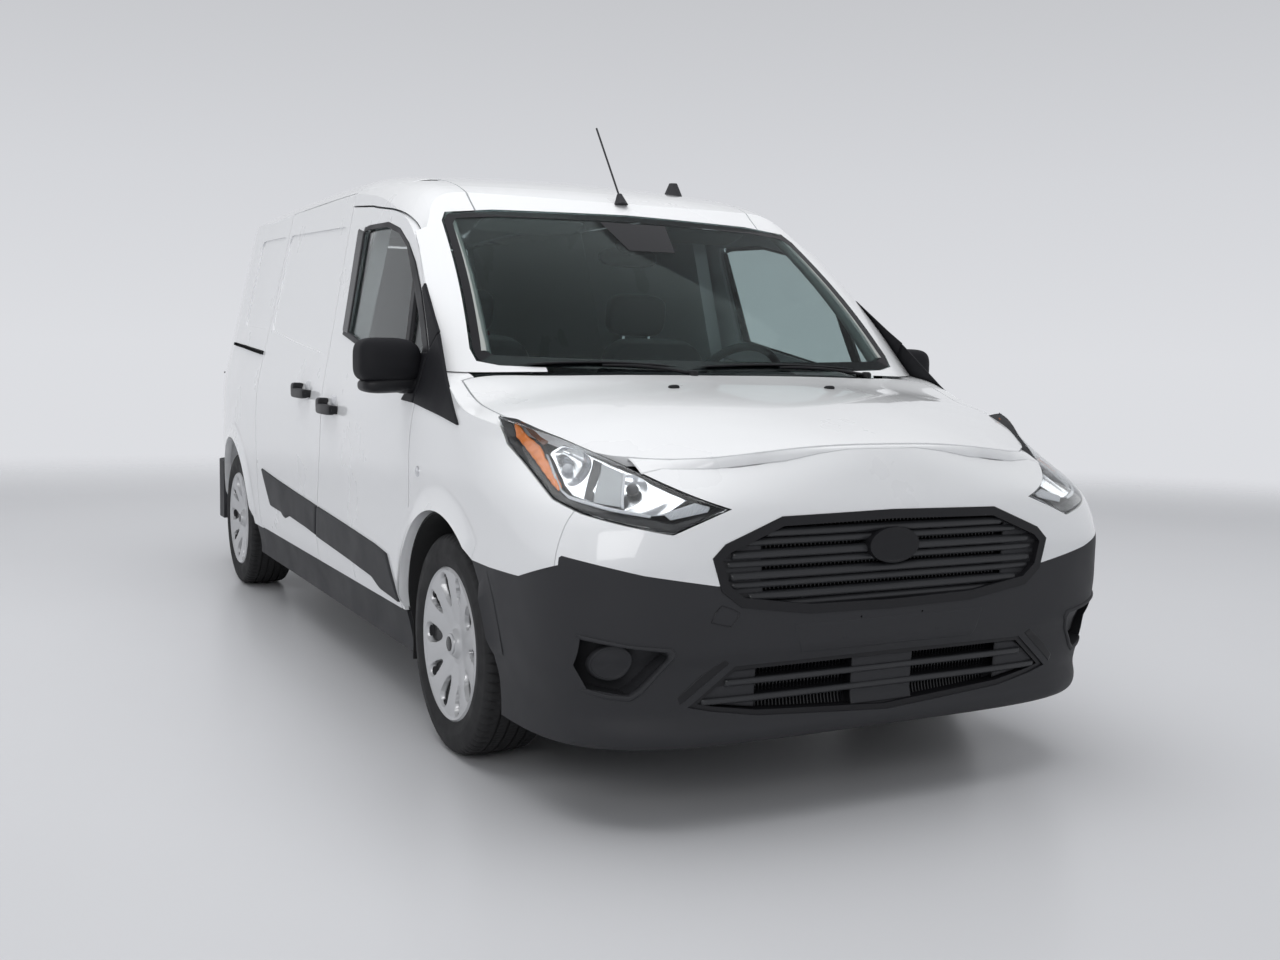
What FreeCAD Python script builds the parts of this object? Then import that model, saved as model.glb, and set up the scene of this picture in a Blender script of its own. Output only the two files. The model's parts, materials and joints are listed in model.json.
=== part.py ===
import FreeCAD, Part
import math
import os
from FreeCAD import Rotation, Vector

# Compact long-wheelbase panel van, in millimetres.
# X runs to the vehicle's left, Y to its rear, Z up; the origin is on the ground
# under the middle of its length.

# Overall size
LENGTH = 4825.0
HALF_WIDTH = 917.0
HEIGHT = 1845.0
WHEELBASE = 3062.0
FRONT_OVERHANG = 906.5
TRACK = 1570.0

# Running gear
TYRE_RADIUS = 321.0
TYRE_WIDTH = 215.0
TREAD_WIDTH = 160.0
BEAD_RADIUS = 208.0
RIM_WELL_RADIUS = 176.0
RIM_WALL = 7.0
WHEEL_OFFSET = 50.0
COVER_RADIUS = 224.0
SPOKE_COUNT = 10
SPINDLE_RADIUS = 28.0
RUNNING_CLEARANCE = 0.5
BRAKE_DISC_RADIUS = 140.0
KINGPIN_LEAN = 13.0
KINGPIN_OFFSET = 85.0
STRUT_RADIUS = 22.0
ARCH_RADIUS = 390.0
REAR_ARCH_RADIUS = 400.0
LINER_WALL = 6.0

# Panels
SHUT_GAP = 6.0
TRIM_GAP = 3.0
SKIN = 12.0
WALL = 55.0
DOOR_FRAME = 28.0
ROOF_THICKNESS = 35.0
PILLAR_DEPTH = 50.0
GLASS = 5.0
BUMPER_WALL = 16.0
HOOD_THICKNESS = 24.0

# Heights
SILL_BOTTOM = 212.0
SILL_TOP = 350.0
CAB_FLOOR_TOP = 400.0
CARGO_FLOOR_TOP = 580.0
FLOOR_THICKNESS = 22.0
BELT_REAR_Z = 1223.0
COWL_Z = 1112.0
SCREEN_TOP_Z = 1650.0
BUMPER_BOTTOM = 205.0

# Places along the body
FRONT_Y = -LENGTH / 2
REAR_Y = LENGTH / 2
FRONT_AXLE_Y = FRONT_Y + FRONT_OVERHANG
REAR_AXLE_Y = FRONT_AXLE_Y + WHEELBASE
NOSE_START_Y = FRONT_AXLE_Y - 194.0
COWL_Y = FRONT_AXLE_Y + 6.0
SCREEN_TOP_Y = COWL_Y + 650.0
SLIDE_DOOR_REAR_Y = 985.0
ROOF_JOINT_X = 560.0
REAR_DOOR_HALF_WIDTH = 680.0
TAIL_START_Y = 1300.0
TAIL_DRAW = 115.0
REAR_DOOR_BOTTOM = 572.0
SLIDE_DOOR_TOP = HEIGHT - 92.0
DOOR_CORNER_Z = HEIGHT - 147.0
FASCIA_SEAM_Y = FRONT_Y + 180.0
FENDER_STRIP = 90.0
SILL_FRONT_Y = FRONT_AXLE_Y + 396.0
RAIL_END_Y = SLIDE_DOOR_REAR_Y + 18.0
REAR_DOOR_TOP = HEIGHT - 120.0
REAR_DOOR_THICKNESS = 50.0
REAR_CORNER = 110.0
MEETING_GAP = 7.0
REAR_BUMPER_Y = REAR_Y - 312.0
REAR_BUMPER_BOTTOM = 255.0
REAR_BUMPER_HALF = 858.0
REAR_BUMPER_WALL = 40.0
BUMPER_TOP = 560.0
TAIL_LAMP_BOTTOM = 900.0
TAIL_LAMP_TOP = 1300.0
SLIDE_HANDLE_Y = 108.0
SLIDE_HANDLE_Z = 986.0
DOOR_HANDLE_Y = -303.0
DOOR_HANDLE_Z = 943.0
MIRROR_Y = -1190.0
MIRROR_REACH = 1068.0
ANTENNA_Y = -803.0
POD_X = 470.0
POD_Y = -330.0
RAIL_X = 435.0
RAIL_Z = 430.0
TOWER_X = 560.0
TOWER_TOP = 880.0
FIREWALL_Y = FRONT_AXLE_Y + 66.0
KNUCKLE_LOW = 190.0
KNUCKLE_TOP = 500.0
LINER_INNER_X = 500.0
CHEEK_X = 488.0
CAB_FLOOR_HALF = 828.0
CAB_REAR_Y = -30.0
ARM_X = 560.0
WHEELHOUSE_X = 608.0
DASH_REAR_Y = -1090.0
DASH_HALF = 770.0
DRIVER_X = 380.0
SEAT_Y = -330.0
PIPE_X = -260.0
PIPE_Z = 248.0
PIPE_RADIUS = 26.0
GRILLE_RIM = 24.0
GRILLE_SLATS = (738, 686, 634, 582)
LOWER_SLATS = (366, 322)
BADGE_Z = 691.0
LAMP_DEPTH = 80.0
FOG_RIM = 12.0
FOG_DEPTH = 58.0
FOG_PANEL = 4.0
SEAT_GAP = 0.3
STRIKER_Z = 860.0
STRIKER_Y = -174.0
PANEL_DEPTH = 5.0
RAIL_SLOT_DEPTH = 14.0
PANEL_CORNER = 38.0
HINGE_RADIUS = 8.0
HINGE_Y = REAR_Y - 9.0
HINGE_X = REAR_DOOR_HALF_WIDTH + SHUT_GAP
HINGE_HEIGHTS = (700.0, 1380.0)
HINGE_LEAF = 20.0
STRAP_LENGTH = 86.0
STRAP_REACH = 23.0
STRAP_ROOT = 54.0
STRAP_CLEARANCE = 0.6
MIRROR_HEAD = 172.0
PLATE_HOLE_Z = 511.0
PLATE_HOLE_SPACING = 196.0
HUB_X = TRACK / 2
NOSE_STATIONS = 22


def smooth(points):
    """Monotone cubic through (position, value) pairs, held flat past the ends."""
    xs = [p[0] for p in points]
    vs = [p[1] for p in points]
    steps = [(vs[i + 1] - vs[i]) / (xs[i + 1] - xs[i]) for i in range(len(xs) - 1)]
    slopes = [steps[0]]
    for before, after in zip(steps, steps[1:]):
        slopes.append(0.0 if before * after <= 0 else 2 * before * after / (before + after))
    slopes.append(steps[-1])

    def value(x):
        x = min(max(x, xs[0]), xs[-1])
        i = max(k for k in range(len(xs) - 1) if xs[k] <= x)
        h = xs[i + 1] - xs[i]
        t = (x - xs[i]) / h
        return ((1 + 2 * t) * (1 - t) ** 2 * vs[i] + t * (1 - t) ** 2 * h * slopes[i]
                + t * t * (3 - 2 * t) * vs[i + 1] + t * t * (t - 1) * h * slopes[i + 1])

    return value


def spread(first, last, count):
    return [first + (last - first) * i / (count - 1) for i in range(count)]


# Body side: how far the skin stands in from the widest line, by height
side_tuck = smooth([(150, 56), (SILL_TOP - 40, 37), (400, 17), (570, 5), (760, 0), (950, 5),
                    (1080, 29), (1230, 64), (HEIGHT - 233, 148), (HEIGHT - 145, 168), (HEIGHT, 200)])

# Nose: centreline of the front face, and how square its corner is, by height
nose_reach = smooth([(150, 90), (BUMPER_BOTTOM, 40), (228, 10), (252, 5), (276, 18), (300, 25), (400, 20), (460, 0), (530, 0),
                     (600, 4), (780, 10), (860, 28), (935, 58), (1000, 110), (1150, 260)])
nose_squareness = smooth([(150, 4.6), (650, 5.4), (740, 4.6), (800, 3.7), (850, 2.8), (897, 2.2), (951, 1.85),
                          (1000, 1.8), (1150, 1.8)])

# Roof centreline
roof_line = smooth([(SCREEN_TOP_Y - 60, HEIGHT - 185), (SCREEN_TOP_Y, HEIGHT - 172),
                    (SCREEN_TOP_Y + 50, HEIGHT - 149), (SCREEN_TOP_Y + 250, HEIGHT - 80),
                    (SCREEN_TOP_Y + 550, HEIGHT - 30), (0, HEIGHT - 7), (500, HEIGHT),
                    (1500, HEIGHT - 10), (REAR_Y - 212, HEIGHT - 30), (REAR_Y, HEIGHT - 60)])

# Hood centreline and the drop of its edges
hood_line = smooth([(FRONT_Y - 40, 890), (FRONT_Y + 52, 938), (FRONT_Y + 212, 987), (FRONT_Y + 412, 1030),
                    (FRONT_Y + 612, 1062), (FRONT_Y + 812, 1090), (COWL_Y, 1108), (COWL_Y + 300, 1150)])
hood_drop = smooth([(FRONT_Y, 215), (FRONT_Y + 242, 172), (FRONT_Y + 412, 108), (FRONT_Y + 594, 72),
                    (FRONT_Y + 772, 58), (COWL_Y + 50, 26), (COWL_Y + 300, 20)])


def half_width(y, z):
    """Half the body's width: the side section, drawn in a little at the tail."""
    tail = max(0.0, (y - TAIL_START_Y) / (REAR_Y - TAIL_START_Y))
    return HALF_WIDTH - side_tuck(z) - TAIL_DRAW * tail ** 2


def roof_height(x, y):
    edge = max(0.0, (abs(x) - 560) / 190)
    return roof_line(y) - 33 * (x / 750) ** 2 - 70 * edge ** 3


def hood_height(x, y):
    return hood_line(y) - hood_drop(y) * (abs(x) / 850) ** 2.6


def screen_front(x, z):
    """Y of the windscreen's outer face."""
    rise = (z - COWL_Z) / (SCREEN_TOP_Z - COWL_Z)
    lean = COWL_Y + (SCREEN_TOP_Y - COWL_Y) * rise - 45 * math.sin(math.pi * min(max(rise, 0), 1))
    edge = max(0.0, abs(x) - 740 + 90 * rise)
    return lean + 78 * (x / 740) ** 2 + 0.0022 * edge ** 2


def rear_face(x, z):
    """Y of the rear doors' outer face."""
    top = max(0.0, (z - 1150) / 600)
    return REAR_Y - 10 - 48 * top ** 2 - 22 * (x / 800) ** 2


def sheet(point, first, second):
    """Smooth face through point(u, v) over two lists of values."""
    surface = Part.BSplineSurface()
    surface.interpolate([[point(u, v) for v in second] for u in first])
    return surface.toShape()


def side_skin(inset, y0):
    return sheet(lambda y, z: Vector(half_width(y, z) - inset, y, z), spread(y0, REAR_Y + 20, 17),
                 spread(140, HEIGHT + 40, 23))


def side_solid(inset, y0=-1760.0):
    """All that lies inside the left side skin, to past the centreline."""
    return side_skin(inset, y0).extrude(Vector(-1000, 0, 0))


def side_slab(start, end, y0=-1760.0):
    """Layer of the left body side between two depths."""
    return side_skin(start, y0).extrude(Vector(start - end, 0, 0))


def roof_solid(inset, depth=1700.0, x0=500.0, x1=960.0):
    """Slab under the roof skin."""
    face = sheet(lambda x, y: Vector(x, y, roof_height(x, y) - inset), spread(x0, x1, 13),
                 spread(SCREEN_TOP_Y - 60, REAR_Y + 60, 25))
    return face.extrude(Vector(0, 0, -depth))


def screen_solid(offset, depth):
    """Slab behind the windscreen's outer face (in front of it for a negative depth)."""
    face = sheet(lambda x, z: Vector(x, screen_front(x, z) + offset, z),
                 spread(-960, 960, 33), spread(940, SCREEN_TOP_Z + 110, 12))
    return face.extrude(Vector(0, depth, 0))


def rear_solid(offset, depth):
    """Slab ahead of the rear doors' outer face."""
    face = sheet(lambda x, z: Vector(x, rear_face(x, z) - offset, z),
                 spread(-950, 950, 13), spread(150, HEIGHT + 30, 12))
    return face.extrude(Vector(0, -depth, 0))


def hood_solid(inset, depth):
    """Slab under the hood's skin."""
    face = sheet(lambda x, y: Vector(x, y, hood_height(x, y) - inset),
                 spread(-950, 950, 21), spread(FRONT_Y - 40, COWL_Y + 300, 15))
    return face.extrude(Vector(0, 0, -depth))


def nose_skin(inset):
    """Front body skin: a squared-off plan curve at each height, from door to door."""
    y_back = FRONT_AXLE_Y + 420
    heights = spread(SILL_BOTTOM - 20, 300, 7) + spread(300, 780, 22)[1:] + spread(780, 1130, 16)[1:]

    def plan_curve(z):
        """Points at equal steps from the left rear, round the nose, to the right rear."""
        side = half_width(NOSE_START_Y, z) - inset
        reach = NOSE_START_Y - (FRONT_Y + nose_reach(z)) - inset
        n = nose_squareness(z)
        fine = [(side, y) for y in spread(y_back, NOSE_START_Y, 40)]
        for a in spread(math.pi / 2, 0, 400)[1:]:
            r = (abs(math.cos(a) / reach) ** n + abs(math.sin(a) / side) ** n) ** (-1 / n)
            fine.append((r * math.sin(a), NOSE_START_Y - r * math.cos(a)))
        run = [0.0]
        for (x0, y0), (x1, y1) in zip(fine, fine[1:]):
            run.append(run[-1] + math.hypot(x1 - x0, y1 - y0))
        half = []
        k = 0
        for goal in spread(0, run[-1], NOSE_STATIONS):
            while k < len(run) - 2 and run[k + 1] < goal:
                k += 1
            t = (goal - run[k]) / (run[k + 1] - run[k])
            half.append((fine[k][0] + t * (fine[k + 1][0] - fine[k][0]),
                         fine[k][1] + t * (fine[k + 1][1] - fine[k][1])))
        return [Vector(x, y, z) for x, y in half] + [Vector(-x, y, z) for x, y in reversed(half[:-1])]

    surface = Part.BSplineSurface()
    surface.interpolate([list(row) for row in zip(*[plan_curve(z) for z in heights])])
    for row, z in ((1, heights[0]), (surface.NbVPoles, heights[-1])):
        for column in range(1, surface.NbUPoles + 1):
            pole = surface.getPole(column, row)
            surface.setPole(column, row, Vector(pole.x, pole.y, z))
    skin = surface.toShape()
    ends = {}
    for edge in skin.Edges:
        bounds = edge.BoundBox
        if bounds.ZLength < 0.01:
            ends["top" if bounds.ZMin > 600 else "bottom"] = edge
        else:
            ends["left" if bounds.XMin > 0 else "right"] = edge
    return skin, ends


def closed_solid(faces):
    joined = Part.Compound(faces)
    joined.sewShape()
    return Part.Solid(Part.Shell(joined.Faces))


def flat_face(*edges):
    return Part.Face(Part.Wire(Part.__sortEdges__(list(edges))))


def link(first, second):
    return Part.LineSegment(first, second).toShape()


def ends_of(edge):
    """End points of an edge, its left or lower one first."""
    found = [v.Point for v in edge.Vertexes]
    return sorted(found, key=lambda p: (-round(p.x), p.z))


def nose_solid(inset):
    """Front body as a filled block."""
    skin, ends = nose_skin(inset)
    low, high = link(*ends_of(ends["bottom"])), link(*ends_of(ends["top"]))
    return closed_solid([skin, flat_face(ends["bottom"], low), flat_face(ends["top"], high),
                         flat_face(ends["left"], high, ends["right"], low)])


def nose_wall(start, end):
    """Layer of the front body between two depths, open at the bottom, top and back."""
    skin, outer = nose_skin(start)
    lining, inner = nose_skin(end)
    tabs = {}
    for side, k in (("left", 0), ("right", 1)):
        for level in ("bottom", "top"):
            tabs[side, level] = link(ends_of(outer[level])[k], ends_of(inner[level])[k])
    faces = [skin, lining]
    for level in ("bottom", "top"):
        faces.append(flat_face(outer[level], tabs["right", level], inner[level], tabs["left", level]))
    for side in ("left", "right"):
        faces.append(flat_face(outer[side], tabs[side, "top"], inner[side], tabs[side, "bottom"]))
    return closed_solid(faces)


def front_slab(start, end):
    """Layer of the front face between the lamps, between two depths."""
    def point(x, z):
        side = half_width(NOSE_START_Y, z)
        reach = NOSE_START_Y - (FRONT_Y + nose_reach(z))
        n = nose_squareness(z)
        return Vector(x, NOSE_START_Y - reach * (1 - (abs(x) / side) ** n) ** (1 / n) + start, z)

    return sheet(point, spread(-640, 640, 21), spread(230, 810, 16)).extrude(Vector(0, end - start, 0))


def outline(points, origin, u_axis, v_axis):
    """Closed face in a plane through (u, v) points; a list among them is a smooth run."""
    runs, last = [], None
    for item in points + points[:1]:
        run = item if isinstance(item, list) else [item]
        if last is not None:
            runs.append([last, run[0]])
        if len(run) > 2:
            runs.append(run)
        elif len(run) == 2:
            runs.append(run)
        last = run[-1]
    if isinstance(points[0], list):
        runs = runs[:-1]
    edges = []
    for run in runs:
        corners = [origin + u_axis * u + v_axis * v for u, v in run]
        if len(run) == 2:
            if corners[0].distanceToPoint(corners[1]) > 0.001:
                edges.append(Part.LineSegment(corners[0], corners[1]).toShape())
            continue
        curve = Part.BSplineCurve()
        curve.interpolate(corners)
        edges.append(curve.toShape())
    return Part.Face(Part.Wire(edges))


X_AXIS, Y_AXIS, Z_AXIS = Vector(1, 0, 0), Vector(0, 1, 0), Vector(0, 0, 1)


def side_prism(points, x0=0.0, x1=1200.0):
    """Side-view outline (y, z) extruded along X."""
    return outline(points, Vector(x0, 0, 0), Y_AXIS, Z_AXIS).extrude(Vector(x1 - x0, 0, 0))


def front_prism(points, y0, y1):
    """Front-view outline (x, z) extruded along Y."""
    return outline(points, Vector(0, y0, 0), X_AXIS, Z_AXIS).extrude(Vector(0, y1 - y0, 0))


def plan_prism(points, z0, z1):
    """Plan outline (x, y) extruded along Z."""
    return outline(points, Vector(0, 0, z0), X_AXIS, Y_AXIS).extrude(Vector(0, 0, z1 - z0))


def box(x0, x1, y0, y1, z0, z1):
    return Part.makeBox(x1 - x0, y1 - y0, z1 - z0, Vector(x0, y0, z0))


def rod(start, end, radius):
    """Round bar between two points."""
    run = end - start
    return Part.makeCylinder(radius, run.Length, start, run)


def largest(shape):
    """The main body of a cut, without the slivers beside it."""
    return max(shape.Solids, key=lambda solid: solid.Volume)


def mirrored(shape):
    return shape.mirror(Vector(0, 0, 0), X_AXIS)


def both(shape):
    """A left-hand piece and its mirror image."""
    return Part.makeCompound([shape, mirrored(shape)])


def mirror_points(points):
    """A right-half outline closed by its mirror image across X = 0."""
    return points + [(-x, v) for x, v in reversed(points)]


def grown(points, gap):
    """Polygon offset outwards by a gap."""
    face = outline(points, Vector(0, 0, 0), X_AXIS, Y_AXIS)
    wire = face.OuterWire.makeOffset2D(gap, 2)
    found = [(v.Point.x, v.Point.y) for v in wire.OrderedVertexes]
    return found


def cylinder_x(radius, x0, x1, y, z):
    return Part.makeCylinder(radius, x1 - x0, Vector(x0, y, z), X_AXIS)


def ring_x(outer, inner, x0, x1, y, z):
    return cylinder_x(outer, x0, x1, y, z).cut(cylinder_x(inner, x0 - 1, x1 + 1, y, z))


# Door and window outlines in side view (y, z)
B_GAP = [(-45, SILL_TOP), (-60, 474), (-135, 710), (-154, 944), (-104, 1230), (-35, 1613), (-20, DOOR_CORNER_Z)]
DOOR_FRONT = [(-1085, SILL_TOP), (-1120, 470), (-1192, 600), (-1228, 720), (-1228, 890), (-1240, 960),
              (-1285, 1160)]
DOOR_TOP = [(-1085, 1350), (-886, 1531), (-700, 1616), (-550, 1645), (-300, 1676)]
WINDOW = [(-1232, 1060), (-275, BELT_REAR_Z), (-228, 1575), (-246, 1607), (-543, 1600), (-700, 1567),
          (-829, 1512), (-1085, 1300), (-1215, 1185)]
LAMP_OUTLINE = [(-685, 996), (-732, 929), (-924, 813), (-1013, 786), (-1232, 742), (-1342, 797),
                (-1058, 897), (-876, 951)]
HOOD_FRONT = [(0, FRONT_Y + 78), (200, FRONT_Y + 80), (360, FRONT_Y + 90), (480, FRONT_Y + 120), (570, FRONT_Y + 174),
              (640, FRONT_Y + 240)]
HOOD_FLANK = [(640, FRONT_Y + 240), (700, FRONT_Y + 300), (765, FRONT_Y + 410), (812, FRONT_Y + 520),
              (838, FRONT_Y + 640), (846, FRONT_Y + 800), (838, COWL_Y + 10)]
HOOD_REAR = [(838, COWL_Y + 10), (760, COWL_Y + 34), (600, COWL_Y + 8), (400, COWL_Y - 14), (200, COWL_Y - 26),
             (0, COWL_Y - 30)]
GRILLE_OUTLINE = [(0, 783), (340, 777), (500, 715), (535, 682), (510, 600), (456, 559), (258, 531), (0, 526)]
LOWER_GRILLE = [(0, 412), (420, 411), (459, 410), (578, 314), (519, 300), (391, 280), (0, 258)]
SCREEN_OUTLINE = [(0, COWL_Z + 2), (400, COWL_Z + 4), (700, COWL_Z + 12), (763, COWL_Z + 24), (770, COWL_Z + 60),
                  (690, 1590), (667, 1622), (500, 1640), (0, SCREEN_TOP_Z)]
BUMPER_FRONT_LINE = [(0, 614), (519, 614), (706, 646), (864, 685), (884, 662), (1000, 662)]
FOG_OUTLINE = [(832, 492), (642, 462), (634, 444), (694, 366), (716, 348), (806, 362), (836, 420)]
SLIDE_PANEL = [(965, 1656), (10, 1628), (-52, 1140), (500, 1188), (950, 1238)]
REAR_PANEL = [(1594, 1668), (1048, 1658), (1030, 1238), (1601, 1262)]
RAIL_SLOT = [(1012, 1124), (1450, 1150), (1838, 1166), (1838, 1180), (1450, 1166), (1012, 1142)]
REAR_DOOR_PANEL = [(70, 1170), (598, 1170), (560, 1620), (70, 1640)]
FASCIA_OUTLINE = [(0, 940), (300, 941), (430, 937), (520, 924), (600, 906), (660, 893), (1000, 850), (1000, 500),
                  (0, 500)]
BUMPER_SIDE_LINE = [(NOSE_START_Y, 607), (FRONT_Y + 513, 607), (FRONT_Y + 329, 613), (FRONT_Y + 172, 662)]
REAR_DOOR_EDGE = [(REAR_DOOR_HALF_WIDTH, 1000), (664, 1250), (616, 1600), (584, REAR_DOOR_TOP - 40)]


def front_door_outline():
    rear = [(y - SHUT_GAP, z) for y, z in reversed(B_GAP)]
    return [list(DOOR_FRONT), DOOR_TOP, rear]


def sliding_door_outline():
    return [B_GAP, (B_GAP[-1][0], SLIDE_DOOR_TOP), (SLIDE_DOOR_REAR_Y + 12, SLIDE_DOOR_TOP),
            (SLIDE_DOOR_REAR_Y, SILL_TOP)]


def lamp_prism(gap=0.0):
    """Headlamp outline drawn square to the corner and run through it."""
    across = Vector(1, 1, 0).normalize()
    along = Vector(1, -1, 0).normalize()
    points = grown(LAMP_OUTLINE, gap) if gap else LAMP_OUTLINE
    return outline(points, along * 300, across, Z_AXIS).extrude(along * 3000)


def bumper_region(gap=0.0):
    """Space of the dark bumper: below the paint line, ahead of the arch."""
    top = [(x, z + gap) for x, z in BUMPER_FRONT_LINE]
    front = front_prism([(1000, 100)] + top[::-1] + [(-x, z) for x, z in top[1:]] + [(-1000, 100)],
                        FRONT_Y - 100, FRONT_Y + 172)
    side = [(y, z + gap) for y, z in BUMPER_SIDE_LINE]
    flank = side_prism(side + [(FRONT_Y + 172, 100), (NOSE_START_Y, 100)], -1000, 1000)
    return front.fuse(flank)


def across(points):
    """Closed outline symmetric about X = 0 from the points of its left half, top to bottom."""
    return points + [(-x, v) for x, v in reversed(points) if x > 0]


def hood_outline(gap=0.0):
    """Plan outline of the hood: smooth front and rear edges between straight-cut corners."""
    front, flank, rear = HOOD_FRONT, HOOD_FLANK, HOOD_REAR
    half = [[(x + gap * 0.7, y - gap) for x, y in front], [(x + gap, y - gap * 0.2) for x, y in flank],
            [(x + gap * 0.7, y + gap) for x, y in rear]]
    other = [[(-x, y) for x, y in reversed(run)] for run in reversed(half)]
    nose_run = other[-1][:-1] + half[0]
    rear_run = half[2] + other[0][1:]
    return [nose_run, half[1], rear_run, other[1]]


def nose_pieces():
    """Hood, fascia, bumper, fenders, lamps and grilles."""
    pieces = {}
    wall = nose_wall(0, SKIN)
    bumper_wall = nose_wall(0, BUMPER_WALL)
    bumper_wall = bumper_wall.common(box(-1000, 1000, FRONT_Y - 10, NOSE_START_Y, BUMPER_BOTTOM, 700))
    grille_hole = front_prism(across(GRILLE_OUTLINE), FRONT_Y - 50, FRONT_Y + 250)
    lower_hole = front_prism(across(LOWER_GRILLE), FRONT_Y - 50, FRONT_Y + 250)
    arches = cylinder_x(ARCH_RADIUS, -1000, 1000, FRONT_AXLE_Y, TYRE_RADIUS)
    lamp_gap = lamp_prism(TRIM_GAP)

    pieces["hood"] = hood_solid(0, HOOD_THICKNESS).common(plan_prism(hood_outline(), 700, 1200))
    hood_room = hood_solid(-60, HOOD_THICKNESS + SHUT_GAP + 60).common(
        plan_prism(hood_outline(SHUT_GAP), 700, 1200))
    bumper = bumper_wall.common(bumper_region()).cut(grille_hole).cut(lower_hole).cut(arches)
    recess = front_prism(FOG_OUTLINE, FRONT_Y - 50, FRONT_Y + 400)
    bumper = bumper.cut(recess).cut(mirrored(recess))
    for x in (-PLATE_HOLE_SPACING / 2, PLATE_HOLE_SPACING / 2):
        bumper = bumper.cut(Part.makeCylinder(3, 100, Vector(x, FRONT_Y - 20, PLATE_HOLE_Z), Y_AXIS))
    pieces["front_bumper"] = bumper

    fascia = wall.common(box(-1000, 1000, FRONT_Y - 100, FASCIA_SEAM_Y, 500, 1000))
    fascia = fascia.common(front_prism(across(FASCIA_OUTLINE), FRONT_Y - 100, FRONT_Y + 400))
    fascia = fascia.cut(bumper_region(0.3)).cut(grille_hole).cut(lamp_gap).cut(mirrored(lamp_gap)).cut(hood_room)
    pieces["front_fascia"] = largest(fascia)

    start = FASCIA_SEAM_Y + TRIM_GAP
    top_ys = spread(start, -1285 - SHUT_GAP, 12)
    fender = wall.common(fender_flank(0)).cut(bumper_region(0.3)).cut(arches).cut(lamp_gap)
    strip = [[(fender_edge(y) - 3, y) for y in top_ys[2:]],
             [(fender_edge(y) - FENDER_STRIP, y) for y in reversed(top_ys[2:])]]
    flange = hood_solid(0, SKIN).common(plan_prism(strip, 700, 1200))
    flange = flange.cut(plan_prism(hood_outline(SHUT_GAP), 700, 1200)).cut(lamp_gap)
    fender = largest(fender.fuse(flange))
    pieces["fender_left"] = fender
    pieces["fender_right"] = mirrored(fender)

    lamp = largest(nose_wall(0, LAMP_DEPTH).common(lamp_prism()).cut(hood_room))
    pieces["headlamps"] = both(lamp)

    around = front_prism(grown(FOG_OUTLINE, FOG_RIM), FRONT_Y - 50, FRONT_Y + 400)
    tray = nose_wall(BUMPER_WALL + SEAT_GAP, FOG_DEPTH).common(around.cut(recess))
    tray = tray.fuse(nose_wall(FOG_DEPTH - FOG_PANEL, FOG_DEPTH).common(around))
    tray = tray.common(box(0, 1000, FRONT_Y, NOSE_START_Y, 200, 600)).cut(arches)
    pieces["fog_panels"] = both(largest(tray))
    return pieces


def fender_flank(gap):
    """Side-view space of the fender, its upper edge raised by a gap."""
    start = FASCIA_SEAM_Y + TRIM_GAP
    top = [(y, hood_height(fender_edge(y), y) + gap) for y in spread(start, -1285 - SHUT_GAP, 12)]
    door_edge = [(y - SHUT_GAP, z) for y, z in DOOR_FRONT]
    return side_prism([top, list(reversed(door_edge)), (start, SILL_TOP)], 300, 1000)


def fender_edge(y):
    """Half-width of the nose at the height of the hood's edge."""
    z = 1000.0
    for _ in range(6):
        side = half_width(NOSE_START_Y, z)
        x = side
        if y < NOSE_START_Y:
            reach = NOSE_START_Y - (FRONT_Y + nose_reach(z))
            n = nose_squareness(z)
            x = side * max(0.0, 1 - ((NOSE_START_Y - y) / reach) ** n) ** (1 / n)
        z = hood_height(x, y)
    return x


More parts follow.
